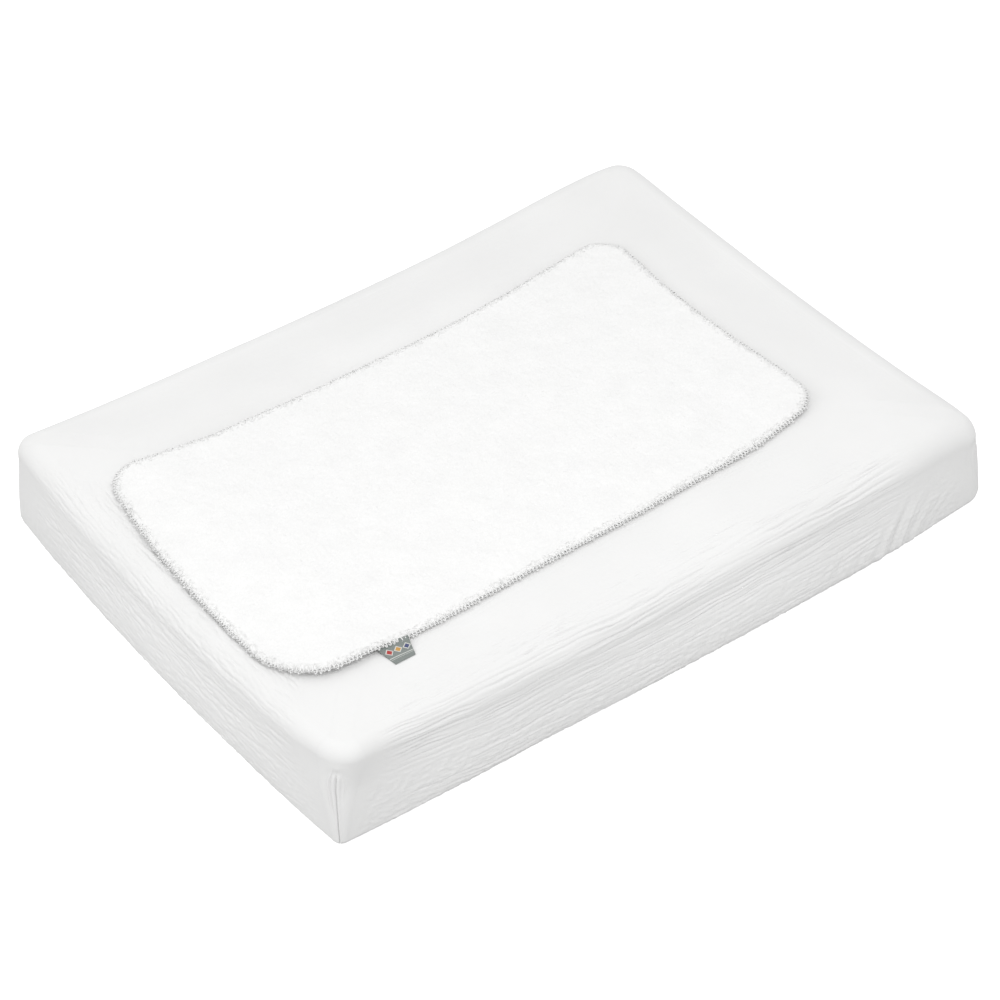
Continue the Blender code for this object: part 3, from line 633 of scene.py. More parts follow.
def cover():
    """The cover, and for each corner the line of its seam's groove with outward directions."""
    around = perimeter(2.3 * MM, 60)
    points, zones, plain = cover_rings(around, 0.80 * MM)
    side = around.side
    x, _, z = np.moveaxis(points, -1, 0)
    outer = zones <= FOOT
    arc = np.nonzero(zones == RIM)[0]

    # profile length, 0 at the middle of the rim's arc
    steps = np.linalg.norm(np.diff(points, axis=0), axis=2)
    down = np.concatenate([np.zeros((1, len(side))), np.cumsum(steps, 0)], 0)
    down -= down[arc[len(arc) // 2]][None, :]
    ahead = np.roll(points, -1, axis=1) - np.roll(points, 1, axis=1)
    normals = unit(np.cross(np.gradient(points, axis=0), ahead))

    relief = np.zeros(down.shape)
    for k in range(4):
        columns = side == k
        cut = np.ix_(outer, columns)
        relief[cut] += side_relief(k, around.run[columns], down[cut], around.near[columns],
                                   around.pos[columns])
    cut = np.ix_(outer, side == FRONT)
    relief[cut] += drag_relief(x[cut], z[cut])
    gaps, centres = seam_gaps(around, points[arc[-1]])
    columns = np.abs(gaps) < 0.070
    cut = np.ix_(outer, columns)
    relief[cut] += seam_relief(gaps[columns], down[cut] - SEAM_TOP)
    relief[:plain] = 0

    # the foot stays on the ground
    keep = np.where((zones == FOOT)[:, None], 0.35 + 0.65 * smooth(0.0, 0.006, z), 1.0)
    added = lift(points, zones)
    points = points + normals * relief[..., None] * keep[..., None]
    points[..., 2] = np.maximum(points[..., 2] + added, 0.0)

    idx = np.arange(down.size).reshape(down.shape)
    low, high = idx[:-1], idx[1:]
    quads = np.stack([low, high, np.roll(high, -1, 1), np.roll(low, -1, 1)], -1).reshape(-1, 4)
    ob = mesh_object("muslin_cover_cloth", points.reshape(-1, 3), [quads, idx[0], idx[-1][::-1]])
    face_outwards(ob)
    across = np.where(side < 0, 5.0 + around.turn * 0.020, around.run + side * 0.9)
    across = np.broadcast_to(across, down.shape)
    add_weave_uv(ob, np.stack([across.ravel(), down.ravel()], 1))

    seams = []
    rows = np.nonzero((zones >= RIM) & (zones <= FOOT))[0]
    for k, centre in enumerate(centres):
        columns = np.nonzero(side == -1 - k)[0]
        below = down[rows, centre] - SEAM_TOP
        line, outwards = [], []
        for i, depth, shift in zip(rows, below, seam_shift(below)):
            j = columns[np.argmin(np.abs(gaps[columns] - shift))]
            if depth >= 0.004 and points[i, j, 2] > 0.002:
                line.append(points[i, j] - 0.10 * MM * normals[i, j])
                outwards.append(normals[i, j])
        seams.append((np.array(line), np.array(outwards)))
    return ob, seams


def seam_thread(corner, line, outwards):
    """Lockstitches along one boxed corner, each dipping into the cloth at its ends."""
    lengths = np.cumsum(np.linalg.norm(np.diff(line, axis=0), axis=1))
    lengths = np.concatenate([[0], lengths])
    pitch, stitch = 3.2 * MM, 2.5 * MM
    count = int(lengths[-1] / pitch)
    share = np.linspace(0, 1, 7)
    at = np.clip(np.arange(count)[:, None] * pitch + share[None, :] * stitch, 0, lengths[-1])

    def sample(values):
        return np.stack([np.interp(at, lengths, values[:, axis]) for axis in range(3)], -1)

    rise = (0.45 * np.sin(math.pi * share) - 0.15) * MM
    paths = sample(line) + sample(outwards) * rise[None, :, None]
    return closed_object("seam_stitches_" + corner, *tube_mesh(paths, 0.26 * MM))


# ------------------------------------------------------------------ liner form
LINER_X0, LINER_X1, LINER_Y0, LINER_Y1 = -0.3780, 0.2815, -0.2150, 0.1800
# edges of the liner: x then y for front and back, y then x for left and right
LINER_FRONT = ((-.40, -.34, -.30, -.281, -.248, -.21, -.14, -.058, .019, .187, .233, .30),
               (-.2000, -.2000, -.2020, -.2030, -.2092, -.2108,
                -.2082, -.2060, -.2060, -.1990, -.1895, -.1720))
LINER_BACK = ((-.40, -.34, -.322, -.28, -.229, -.136, -.069, .054, .13, .211, .266, .30),
              (.1815, .1805, .1785, .1700, .1620, .1580,
               .1575, .1565, .1630, .1730, .1795, .1805))
LINER_LEFT = ((-.25, -.166, -.106, -.036, .053, .145, .20),
              (-.3760, -.3770, -.3780, -.3780, -.3730, -.3600, -.3560))
LINER_RIGHT = ((-.25, -.163, -.123, -.045, .022, .085, .148, .20),
               (.2820, .2815, .2810, .2750, .2730, .2750, .2800, .2815))
EDGE_SOFT = 0.012
TERRY_T = 2.6 * MM
BACKING_T = 0.7 * MM
TERRY_GAP = 0.3 * MM                 # between the backing and the terry
TERRY_INSET = 1.3 * MM               # the terry stops this far inside the outline
LOOP_POINTS = 4000                   # points of the outline that the threads follow


def liner_rest(x, y):
    """Underside of the liner before its edge lifts; its two front corners rise."""
    z = TOP_Z - 0.86 * dip_at(x, y) + 0.40 * MM
    z = z + 0.0075 * np.exp(-(((x + 0.334) / 0.060) ** 2 + ((y + 0.206) / 0.036) ** 2))
    return z + 0.0030 * np.exp(-(((x - 0.270) / 0.035) ** 2 + ((y + 0.165) / 0.040) ** 2))


def liner_sdf(x, y, grow=0.0):
    """Distance-like field, negative inside the liner's slightly waisted rounded rectangle."""
    slip = liner_rest(x, y) - 0.1075
    x, y = x + 0.632 * slip, y + 0.965 * slip            # a sagging edge draws in a little
    back, front = curve(x, *LINER_BACK, EDGE_SOFT), curve(x, *LINER_FRONT, EDGE_SOFT)
    left, right = curve(y, *LINER_LEFT, EDGE_SOFT), curve(y, *LINER_RIGHT, EDGE_SOFT)
    x, y = x - (right + left) / 2, y - (back + front) / 2
    east, north = smooth(-0.12, 0.12, x), smooth(-0.08, 0.08, y)
    radius = ((1 - east) * (1 - north) * 0.066 + east * (1 - north) * 0.031
              + (1 - east) * north * 0.042 + east * north * 0.038 + grow)
    past_x = np.abs(x) - ((right - left) / 2 + grow - radius)
    past_y = np.abs(y) - ((back - front) / 2 + grow - radius)
    outside = np.hypot(np.maximum(past_x, 0), np.maximum(past_y, 0))
    return outside + np.minimum(np.maximum(past_x, past_y), 0) - radius


def liner_z(x, y):
    """Underside of the liner, with the slight curl of its edge."""
    edge = np.exp(np.minimum(liner_sdf(x, y), 0) / 0.014)
    z = liner_rest(x, y) + edge * (0.7 * MM + 0.6 * MM * noise(x / 0.045, y / 0.045, 71))
    z = z + 0.30 * MM * noise(x / 0.085, y / 0.075, 72) + 0.35 * MM
    return np.maximum(z, cover_top(x, y) + 0.35 * MM)


def outline_loop(grow, count):
    """Evenly spaced counter-clockwise points of the liner's outline, and its length."""
    angle = np.linspace(0, 2 * math.pi, 6000, endpoint=False)
    centre = np.array(((LINER_X0 + LINER_X1) / 2, (LINER_Y0 + LINER_Y1) / 2))
    way_x, way_y = np.cos(angle), np.sin(angle)
    low, high = np.full(len(angle), 0.10), np.full(len(angle), 0.50)
    for _ in range(34):
        mid = (low + high) / 2
        inside = liner_sdf(centre[0] + way_x * mid, centre[1] + way_y * mid, grow) < 0
        low, high = np.where(inside, mid, low), np.where(inside, high, mid)
    points = np.stack([centre[0] + way_x * low, centre[1] + way_y * low], 1)
    points = np.vstack([points, points[:1]])
    lengths = np.cumsum(np.linalg.norm(np.diff(points, axis=0), axis=1))
    lengths = np.concatenate([[0], lengths])
    want = np.linspace(0, lengths[-1], count, endpoint=False)
    loop = np.stack([np.interp(want, lengths, points[:, axis]) for axis in range(2)], 1)
    return loop, lengths[-1]


def edge_directions(loop):
    """Tangents and outward normals along a closed plan loop."""
    tangent = np.roll(loop, -1, 0) - np.roll(loop, 1, 0)
    tangent /= np.linalg.norm(tangent, axis=1, keepdims=True)
    return tangent, np.stack([tangent[:, 1], -tangent[:, 0]], 1)


def fill_flat(loop, spacing):
    """Plan points and triangles that span a closed loop near the liner's outline."""
    low, high = loop.min(0) + spacing * 0.6, loop.max(0)
    grids = np.meshgrid(*(np.arange(low[axis], high[axis], spacing) for axis in range(2)))
    x, y = [grid.ravel() for grid in grids]
    keep = liner_sdf(x, y) < -spacing * 0.7
    points = np.vstack([loop, np.stack([x[keep], y[keep]], 1)])
    edges = [(i, (i + 1) % len(loop)) for i in range(len(loop))]
    verts, _, faces, _, _, _ = geometry.delaunay_2d_cdt(
        [Vector(point) for point in points], edges, [], 1, 1e-7)
    return np.array([(v.x, v.y) for v in verts]), np.array([face[:3] for face in faces])


# ------------------------------------------------------------------ terry and backing


def tufts(x, y, cell, seed, spread):
    """Oval tufts about one cell apart, each leaning its own way; 0..1."""
    x, y = x / cell, y / cell
    ix, iy = np.floor(x).astype(np.int64), np.floor(y).astype(np.int64)
    best = np.zeros(x.shape)
    for step_x in (-1, 0, 1):
        for step_y in (-1, 0, 1):
            jx, jy = ix + step_x, iy + step_y
            height = 1 - spread + spread * rand01(jx, jy, seed + 2)
            angle = 6.2832 * rand01(jx, jy, seed + 3)
            off_x = x - (jx + 0.12 + 0.76 * rand01(jx, jy, seed))
            off_y = y - (jy + 0.12 + 0.76 * rand01(jx, jy, seed + 1))
            along = off_x * np.cos(angle) + off_y * np.sin(angle)
            across = -off_x * np.sin(angle) + off_y * np.cos(angle)
            round_off = (along / 0.98) ** 2 + (across / 0.60) ** 2
            best = np.maximum(best, height * np.sqrt(np.clip(1 - round_off, 0, 1)))
    return best


def pile(x, y):
    """Looped pile: tufts at two sizes, brushed in slow swirls."""
    brushed_x = x + 0.0016 * noise(x / 0.021, y / 0.021, 81)
    brushed_y = y + 0.0016 * noise(x / 0.021, y / 0.021, 82)
    big = tufts(brushed_x, brushed_y, 0.0046, 91, spread=0.75)
    small = tufts(brushed_x, brushed_y, 0.0027, 191, spread=0.70)
    slow = 0.55 * noise(x / 0.021, y / 0.017, 95) + 0.45 * noise(x / 0.0095, y / 0.0095, 96)
    return 0.72 * MM * big + 0.50 * MM * small + 0.80 * MM * slow


def terry_base(x, y):
    return liner_z(x, y) + BACKING_T + TERRY_GAP


def terry_top(x, y, ragged=0.0):
    """Top of the pile: pressed down along the stitched edge, standing up past it."""
    stand = smooth(0.8 * MM, 5.0 * MM, -liner_sdf(x, y) + ragged)
    return (terry_base(x, y) + TERRY_T * (0.58 + 0.42 * stand)
            + pile(x, y) * (0.60 + 0.40 * stand))


def boundary_loop(quads):
    """The boundary vertices of a quad sheet, in order."""
    edges = np.concatenate([quads[:, [i, (i + 1) % 4]] for i in range(4)])
    _, first, count = np.unique(np.sort(edges, 1), axis=0, return_index=True, return_counts=True)
    rim = edges[first[count == 1]]
    following = {int(p): int(q) for p, q in rim}
    loop = [int(rim[0][0])]
    while following[loop[-1]] != loop[0]:
        loop.append(following[loop[-1]])
    return np.array(loop)


def terry():
    step = 1.10 * MM
    x, y = np.meshgrid(np.arange(LINER_X0 - 0.012, LINER_X1 + 0.012, step),
                       np.arange(LINER_Y0 - 0.014, LINER_Y1 + 0.014, step), indexing="ij")
    inside = liner_sdf(x, y) + TERRY_INSET < step * 0.45
    cells = inside[:-1, :-1] & inside[1:, :-1] & inside[1:, 1:] & inside[:-1, 1:]
    idx = np.arange(x.size).reshape(x.shape)
    quads = np.stack([idx[:-1, :-1], idx[1:, :-1], idx[1:, 1:], idx[:-1, 1:]], -1)[cells]
    used = np.unique(quads)
    remap = np.full(x.size, -1)
    remap[used] = np.arange(len(used))
    quads = remap[quads]
    x, y = x.ravel()[used], y.ravel()[used]

    # boundary vertices slide on to the slightly ragged outline
    loop = boundary_loop(quads)
    ragged = 0.55 * MM * noise(x[loop] / 0.0035, y[loop] / 0.0035, 97)
    probe = 1e-5
    for _ in range(3):
        gap = liner_sdf(x[loop], y[loop]) + TERRY_INSET + ragged
        slope_x = (liner_sdf(x[loop] + probe, y[loop]) - gap + TERRY_INSET + ragged) / probe
        slope_y = (liner_sdf(x[loop], y[loop] + probe) - gap + TERRY_INSET + ragged) / probe
        steepness = slope_x ** 2 + slope_y ** 2 + 1e-9
        x[loop] -= gap * slope_x / steepness
        y[loop] -= gap * slope_y / steepness

    top = np.stack([x, y, terry_top(x, y, 1.0 * MM * noise(x / 0.006, y / 0.006, 98))], 1)
    plan, tris = fill_flat(top[loop, :2], 0.012)
    verts = np.vstack([top, np.column_stack([plan, terry_base(*plan.T)])])
    low = len(top) + np.arange(len(loop))
    wall = np.stack([loop, np.roll(loop, -1), np.roll(low, -1), low], 1)
    ob = closed_object("terry_liner", verts,
                       [quads, wall[:, ::-1], (tris + len(top))[:, ::-1]])
    add_weave_uv(ob, verts[:, :2])
    return ob


def backing():
    """Backing under the terry: a thin closed sheet."""
    loop, _ = outline_loop(-0.6 * MM, 700)
    plan, tris = fill_flat(loop, 0.009)
    z = liner_z(*plan.T)
    count = len(plan)
    verts = np.vstack([np.column_stack([plan, z]), np.column_stack([plan, z + BACKING_T])])
    i = np.arange(len(loop))
    j = (i + 1) % len(loop)
    wall = np.stack([i, j, j + count, i + count], 1)
    ob = closed_object("liner_backing_sheet", verts, [tris[:, ::-1], tris + count, wall])
    add_weave_uv(ob, verts[:, :2])
    return ob


# ------------------------------------------------------------------ liner edge threads
# overlock wraps, as (shares of the path), (millimetres): outwards, up, and along the edge
WRAP_OUT = (0, 0.30, 0.42, 0.50, 0.58, 0.70, 1), (-5.2, -0.9, 0.75, 1.25, 0.75, -0.6, -3.6)
WRAP_UP = ((0, 0.12, 0.30, 0.42, 0.52, 0.64, 0.80, 1),
           (2.3, 3.5, 3.6, 2.6, 1.2, 0.1, -0.30, -0.30))
WRAP_ALONG = (0, 0.45, 1), (-0.5, 1.05, 2.0)
# the return leg of each zigzag, on top only
LEG_OUT = (0, 1), (0.55, -4.9)
LEG_UP = (0, 0.2, 0.8, 1), (1.9, 3.2, 3.4, 2.2)
LEG_ALONG = (0, 1), (1.3, 3.5)


def edge_chain(loop, outward, total, pitch):
    """One closed thread that hugs the liner's edge. Returns verts and quads."""
    count = len(loop)
    pick = (np.arange(count) * len(loop) / count).astype(int)
    phase = 2 * math.pi * (np.arange(count) * total / count) / pitch
    plan = loop[pick] + outward[pick] * (0.35 * MM + 0.28 * MM * np.sin(phase))[:, None]
    z = liner_z(*loop[pick].T) + 1.35 * MM + 0.3 * MM * np.cos(phase)
    chain = np.column_stack([plan, z])
    tangent = unit(np.roll(chain, -1, 0) - np.roll(chain, 1, 0))
    side = unit(np.cross(tangent, np.array([0, 0, 1.0])))
    verts = ring_around(chain, side, np.cross(side, tangent), 0.40 * MM, 5).reshape(-1, 3)
    low = np.arange(count * 5).reshape(count, 5)
    high = np.roll(low, -1, 0)
    quads = np.stack([low, high, np.roll(high, -1, 1), np.roll(low, -1, 1)], -1)
    return verts, quads.reshape(-1, 4)


def serged_edge():
    """Overlock thread: slanted wraps round the edge, zigzag legs on top, picots and a chain."""
    loop, total = outline_loop(0.0, LOOP_POINTS)
    tangent, outward = edge_directions(loop)
    pitch = 4.1 * MM
    count = int(total / pitch)
    pick = (np.arange(count) * len(loop) / count).astype(int)
    # one column of variation for each trait of a stitch
    vary = np.clip(rng.normal(0, 1, (count, 6)), -2.2, 2.2)
    slack, height, slant, leg_height, leg_slant, reach = [vary[:, [i]] for i in range(6)]
    slack = 1 + 0.22 * slack

    def laid(out, up, along, at):
        """Paths at outline points, from offsets out, up and along the edge in millimetres."""
        plan = (loop[at][:, None] + outward[at][:, None] * (out * MM)[..., None]
                + tangent[at][:, None] * (along * MM)[..., None])
        z = liner_z(*loop[at].T)[:, None] + up * MM
        x, y = plan[..., 0], plan[..., 1]
        return np.stack([x, y, np.maximum(z, cover_top(x, y) + 0.25 * MM)], -1)

    share = np.linspace(0, 1, 13)
    wraps = laid(np.interp(share, *WRAP_OUT) * slack,
                 np.interp(share, *WRAP_UP) + 0.22 * height * (1 - share),
                 np.interp(share, *WRAP_ALONG) + 0.30 * slant * share, pick)
    share = np.linspace(0, 1, 7)
    legs = laid(np.interp(share, *LEG_OUT) * slack,
                np.interp(share, *LEG_UP) + 0.2 * leg_height,
                np.interp(share, *LEG_ALONG) + 0.25 * leg_slant * (1 - share), pick)
    # loose picots: every few stitches one loop stands a little further out
    far = np.nonzero(rand01(np.arange(count), 0, 311) < 0.45)[0]
    bulge = np.sin(math.pi * np.linspace(0, 1, 9))
    picots = laid(-0.4 + (2.5 + 0.8 * reach[far]) * bulge,
                  1.5 + 0.5 * height[far] - 0.5 * bulge,
                  np.linspace(-1.2, 1.4, 9) + 0.3 * slant[far], pick[far])

    chain_verts, chain_quads = edge_chain(loop, outward, total, pitch)
    verts, faces, used = [chain_verts], [chain_quads], len(chain_verts)
    for paths, radius in ((wraps, 0.60), (legs, 0.46), (picots, 0.48)):
        tube_verts, blocks = tube_mesh(paths, radius * MM)
        verts.append(tube_verts)
        faces += [block + used for block in blocks]
        used += len(tube_verts)
    return closed_object("serged_edge_thread", np.vstack(verts), faces)


def edge_loops():
    """Loops of pile that stand up along the edge."""
    loop, _ = outline_loop(0.0, LOOP_POINTS)
    _, outward = edge_directions(loop)
    count = 5000
    pick = rng.integers(0, len(loop), count)
    inwards = rng.uniform(0.6, 7.5, count) * MM
    roots = loop[pick] - outward[pick] * inwards[:, None]
    keep = liner_sdf(*roots.T) < -1.2 * MM
    roots, pick = roots[keep], pick[keep]
    count = len(roots)
    angle = rng.uniform(0, 2 * math.pi, count)
    lean = np.stack([np.cos(angle), np.sin(angle)], 1) * 0.8 + outward[pick] * 0.45
    lean /= np.linalg.norm(lean, axis=1, keepdims=True)
    side = np.stack([-lean[:, 1], lean[:, 0]], 1)
    span = rng.uniform(1.6, 3.4, count)[:, None] * MM
    rise = rng.uniform(1.1, 1.8, count)[:, None] * MM
    curl = rng.uniform(-1.0, 1.0, count)[:, None] * MM
    share = np.linspace(0, 1, 7)
    bow = np.sin(share * math.pi)
    plan = (roots[:, None] + lean[:, None] * (span * (1 - np.cos(share * math.pi)) * 0.5)[..., None]
            + side[:, None] * (curl * bow ** 2)[..., None])
    x, y = plan[..., 0], plan[..., 1]
    z = (terry_top(*roots.T) - 0.9 * MM)[:, None] + rise * bow - 0.4 * MM * share
    paths = np.stack([x, y, np.maximum(z, cover_top(x, y) + 0.4 * MM)], -1)
    return closed_object("terry_edge_loops", *tube_mesh(paths, 0.30 * MM, 4))


# ------------------------------------------------------------------ label
# plan places where the label's sides leave the liner, and the two ends of its fold
LABEL_ROOT = np.array(((-0.2805, -0.2030), (-0.2470, -0.2085)))
LABEL_END = np.array(((-0.2755, -0.2290), (-0.2525, -0.2285)))
LABEL_LENGTH = 0.0245
LABEL_ROOT_Z = 0.1118


def label():
    """A ribbon folded in half: two plies that part a little."""
    across_count, down_count = ((30, 26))
    # section entries: distance from the root, height (1 upper ply, -1 lower), share of length
    shares = [i / (down_count - 1) for i in range(down_count)]
    upper = [(share * LABEL_LENGTH, 1.0, share) for share in shares]
    fold = [(LABEL_LENGTH + 0.55 * MM * math.sin(angle), math.cos(angle), 1.0)
            for angle in np.linspace(0.35, math.pi - 0.35, 5)]
    lower = [(distance, -1.0, share) for distance, _, share in reversed(upper)]
    outer = upper + fold + lower
    inner = [(distance - 0.25 * MM, 0.12 if height > 0 else -0.12, share)
             for distance, height, share in reversed(outer)]
    ring = outer + inner

    def place(across, distance, height, share):
        x, y = mix(mix(*LABEL_ROOT, across), mix(*LABEL_END, across), distance / LABEL_LENGTH)
        ground = cover_top(x, y) + 1.6 * MM
        line = (LABEL_ROOT_Z + (ground - LABEL_ROOT_Z) * (1 - (1 - share) ** 4)
                + 0.3 * MM * math.sin(math.pi * share) * (0.6 + 0.8 * across)
                + 0.35 * MM * share * math.sin(5 * across))
        half = (0.42 + 0.12 * math.sin(math.pi * min(share * 1.1, 1))) * MM
        least = ground - 0.1 * MM if height < 0 else ground
        return x, y, max(line + height * half, least)

    acrosses = np.linspace(0, 1, across_count)
    verts = [place(across, *entry) for across in acrosses for entry in ring]
    size = len(ring)
    idx = np.arange(across_count * size).reshape(across_count, size)
    low, high = idx[:-1], idx[1:]
    quads = np.stack([low, np.roll(low, -1, 1), np.roll(high, -1, 1), high], -1).reshape(-1, 4)
    # end strips between the outer and the inner line
    i = np.arange(len(outer) - 1)
    ends = [np.stack([row[i], row[i + 1], row[size - 2 - i], row[size - 1 - i]], -1)
            for row in (idx[0], idx[-1])]
    ob = closed_object("label_ribbon", verts, [quads, *ends])
    uv = [(across, distance / LABEL_LENGTH) for across in acrosses for distance, _, _ in ring]
    add_weave_uv(ob, np.array(uv))
    return ob


# ------------------------------------------------------------------ materials


class Shader:
    """A few words for building a material's node tree."""

    def __init__(self, name, colour, roughness, metallic=0.0):
        self.material = bpy.data.materials.new(name)
        self.material.use_nodes = True
        self.tree = self.material.node_tree
        self.inputs = self.tree.nodes["Principled BSDF"].inputs
        self.set({"Base Color": (*colour, 1), "Roughness": roughness, "Metallic": metallic})
        self.material.diffuse_color = (*colour, 1)

    def set(self, values):
        for name, value in values.items():
            self.inputs[name].default_value = value

    def node(self, kind, **props):
        node = self.tree.nodes.new(kind)
        for name, value in props.items():
            setattr(node, name, value)
        return node

    def link(self, source, target):
        self.tree.links.new(source, target)

    def math(self, operation, *values):
        node = self.node("ShaderNodeMath", operation=operation)
        for socket, value in zip(node.inputs, values):
            if isinstance(value, (int, float)):
                socket.default_value = value
            else:
                self.link(value, socket)
        return node.outputs[0]

    def add(self, first, second):
        return self.math("ADD", first, second)

    def mul(self, first, second):
        return self.math("MULTIPLY", first, second)

    def wave(self, value, frequency):
        return self.math("SINE", self.mul(value, frequency))

    def coords(self, uv=None, scale=(1, 1, 1)):
        """Object coordinates, or those of a UV map, scaled."""
        if uv:
            source = self.node("ShaderNodeUVMap", uv_map=uv).outputs["UV"]
        else:
            source = self.node("ShaderNodeTexCoord").outputs["Object"]
        mapping = self.node("ShaderNodeMapping")
        mapping.inputs["Scale"].default_value = scale
        self.link(source, mapping.inputs["Vector"])
        return mapping.outputs["Vector"]

    def split(self, vector):
        node = self.node("ShaderNodeSeparateXYZ")
        self.link(vector, node.inputs[0])
        return node.outputs

    def noise(self, vector, scale=1.0, detail=2.0, roughness=0.5):
        node = self.node("ShaderNodeTexNoise")
        node.inputs["Scale"].default_value = scale
        node.inputs["Detail"].default_value = detail
        node.inputs["Roughness"].default_value = roughness
        self.link(vector, node.inputs["Vector"])
        return node.outputs["Fac"]

    def cells(self, vector, scale):
        node = self.node("ShaderNodeTexVoronoi", feature="F1")
        node.inputs["Scale"].default_value = scale
        self.link(vector, node.inputs["Vector"])
        return node.outputs["Distance"]

    def ramp(self, value, low, high, span):
        """Colours low to high as value crosses span."""
        node = self.node("ShaderNodeValToRGB")
        for element, place, colour in zip(node.color_ramp.elements, span, (low, high)):
            element.position = place
            element.color = (*colour, 1)
        self.link(value, node.inputs["Fac"])
        return node.outputs["Color"]

    def tint(self, value, low, high, span=(0.3, 0.7)):
        self.link(self.ramp(value, low, high, span), self.inputs["Base Color"])

    def roughen(self, value, low, high, span=(0.3, 0.7)):
        self.link(self.ramp(value, (low,) * 3, (high,) * 3, span), self.inputs["Roughness"])

    def bump(self, height, strength, distance):
        node = self.node("ShaderNodeBump")
        node.inputs["Strength"].default_value = strength
        node.inputs["Distance"].default_value = distance
        self.link(height, node.inputs["Height"])
        self.link(node.outputs["Normal"], self.inputs["Normal"])


def grey(value):
    return (value, value, value * 0.995)


def muslin_material():
    """Double gauze: a plain weave with uneven yarns."""
    mat = Shader("muslin_double_gauze", grey(0.80), roughness=0.95)
    uv = mat.coords("weave")
    mat.tint(mat.noise(mat.coords(), scale=9.0, detail=3.0), grey(0.785), grey(0.815))
    frequency = math.pi / 0.00055                        # yarns 0.55 mm apart
    u, v, _ = mat.split(uv)
    weave = mat.add(mat.mul(mat.wave(u, frequency), mat.wave(v, frequency)), 0.0)
    yarn = mat.noise(mat.coords("weave", (900, 2600, 1)))
    fine = mat.noise(mat.coords("weave", (260, 420, 1)), detail=3.0)
    height = mat.add(mat.mul(weave, 0.25), mat.add(mat.mul(yarn, 0.35), mat.mul(fine, 0.9)))
    mat.bump(height, strength=0.45, distance=0.00016)
    mat.roughen(fine, 0.90, 0.98)
    mat.set({"Sheen Weight": 0.08, "Sheen Roughness": 0.6, "Specular IOR Level": 0.15})
    return mat.material


def terry_material():
    """Looped pile: slow patches, tufts and fibres."""
    mat = Shader("terry_loop_pile", grey(0.86), roughness=0.98)
    slow = mat.noise(mat.coords("weave", (26, 30, 1)), detail=3.0)
    tuft = mat.noise(mat.coords("weave", (430, 430, 1)))
    # slow patches are random tone; the tuft noise that also drives the bump paints the hollows between
    # tufts darker: painted shade between the tufts
    patch_tone_and_tuft_shade = mat.add(mat.mul(slow, 0.5), mat.mul(tuft, 0.5))
    mat.tint(patch_tone_and_tuft_shade, grey(0.810), grey(0.862), span=(0.30, 0.65))
    fibre = mat.noise(mat.coords("weave", (1500, 1500, 1)), detail=3.0, roughness=0.6)
    mat.bump(mat.add(mat.mul(tuft, 0.8), mat.mul(fibre, 0.6)), strength=0.5, distance=0.0005)
    mat.roughen(fibre, 0.93, 1.0)
    mat.set({"Sheen Weight": 0.20, "Sheen Roughness": 0.7, "Specular IOR Level": 0.1})
    return mat.material


def thread_material(name, value):
    """Spun thread: fine slanting ply lines and a soft sheen."""
    mat = Shader(name, grey(value), roughness=0.75)
    place = mat.coords()
    x, y, z = mat.split(place)
    ply = mat.wave(mat.add(mat.add(x, y), mat.mul(z, 1.7)), 3960.0)
    fuzz = mat.noise(place, scale=1600.0)
    mat.tint(fuzz, grey(value * 0.93), grey(min(value * 1.04, 0.93)))
    mat.bump(mat.add(mat.mul(ply, 0.5), fuzz), strength=0.5, distance=0.00012)
    mat.roughen(fuzz, 0.65, 0.85)
    mat.set({"Sheen Weight": 0.15})
    return mat.material


def coated_material(name, value, roughness):
    """Coated cloth: a faint weave under a smooth film, with slow unevenness of gloss."""
    mat = Shader(name, grey(value), roughness)
    place = mat.coords()
    x, y, z = mat.split(place)
    warp, weft = [mat.wave(mat.add(axis, mat.mul(z, 0.5)), 5280.0) for axis in (x, y)]
    slow = mat.noise(place, scale=14.0, detail=3.0)
    fine = mat.noise(place, scale=700.0, detail=3.0)
    mat.tint(slow, grey(value * 0.97), grey(value * 1.02))
    mat.roughen(slow, roughness * 0.85, roughness * 1.2)
    height = mat.add(mat.mul(mat.mul(warp, weft), 0.4), fine)
    mat.bump(height, strength=0.35, distance=0.00015)
    return mat.material


def foam_material():
    """Open-cell foam: round pores at two sizes."""
    mat = Shader("foam_open_cell", (0.80, 0.75, 0.56), roughness=0.95)
    place = mat.coords()
    small, large = mat.cells(place, scale=700.0), mat.cells(place, scale=260.0)
    height = mat.add(small, mat.mul(large, 0.6))
    # pore centres are coloured darker where the bump is lowest: painted shade in the pores
    mat.tint(small, (0.62, 0.56, 0.38), (0.84, 0.79, 0.60), span=(0.1, 0.6))
    mat.bump(height, strength=0.6, distance=0.0006)
    mat.roughen(large, 0.85, 1.0, span=(0.1, 0.6))
    return mat.material


def tape_material(name, value, pitch, rib):
    """Knitted or woven tape: ribs a pitch apart, rib strong."""
    mat = Shader(name, grey(value), roughness=0.8)
    place = mat.coords()
    x, y, z = mat.split(place)
    frequency = 2 * math.pi / pitch
    along = mat.wave(mat.add(x, y), frequency)
    upright = mat.wave(mat.add(z, mat.mul(x, 0.2)), frequency * 0.9)
    fuzz = mat.noise(place, scale=900.0)
    height = mat.add(mat.mul(along, rib), mat.add(mat.mul(upright, 0.3), fuzz))
    mat.tint(fuzz, grey(value * 0.94), grey(value))
    mat.bump(height, strength=0.5, distance=0.0002)
    mat.roughen(fuzz, 0.75, 0.9)
    return mat.material


def metal_material():
    """Zip metal with fine tumbling marks."""
    mat = Shader("zip_metal_tumbled", (0.66, 0.66, 0.65), roughness=0.34, metallic=1.0)
    place = mat.coords()
    scratch = mat.noise(mat.coords(scale=(300, 300, 2400)), detail=3.0)
    blot = mat.noise(place, scale=240.0)
    mat.tint(blot, (0.60, 0.60, 0.59), (0.72, 0.72, 0.71))
    mat.roughen(scratch, 0.26, 0.44)
    mat.bump(scratch, strength=0.25, distance=0.00006)
    return mat.material


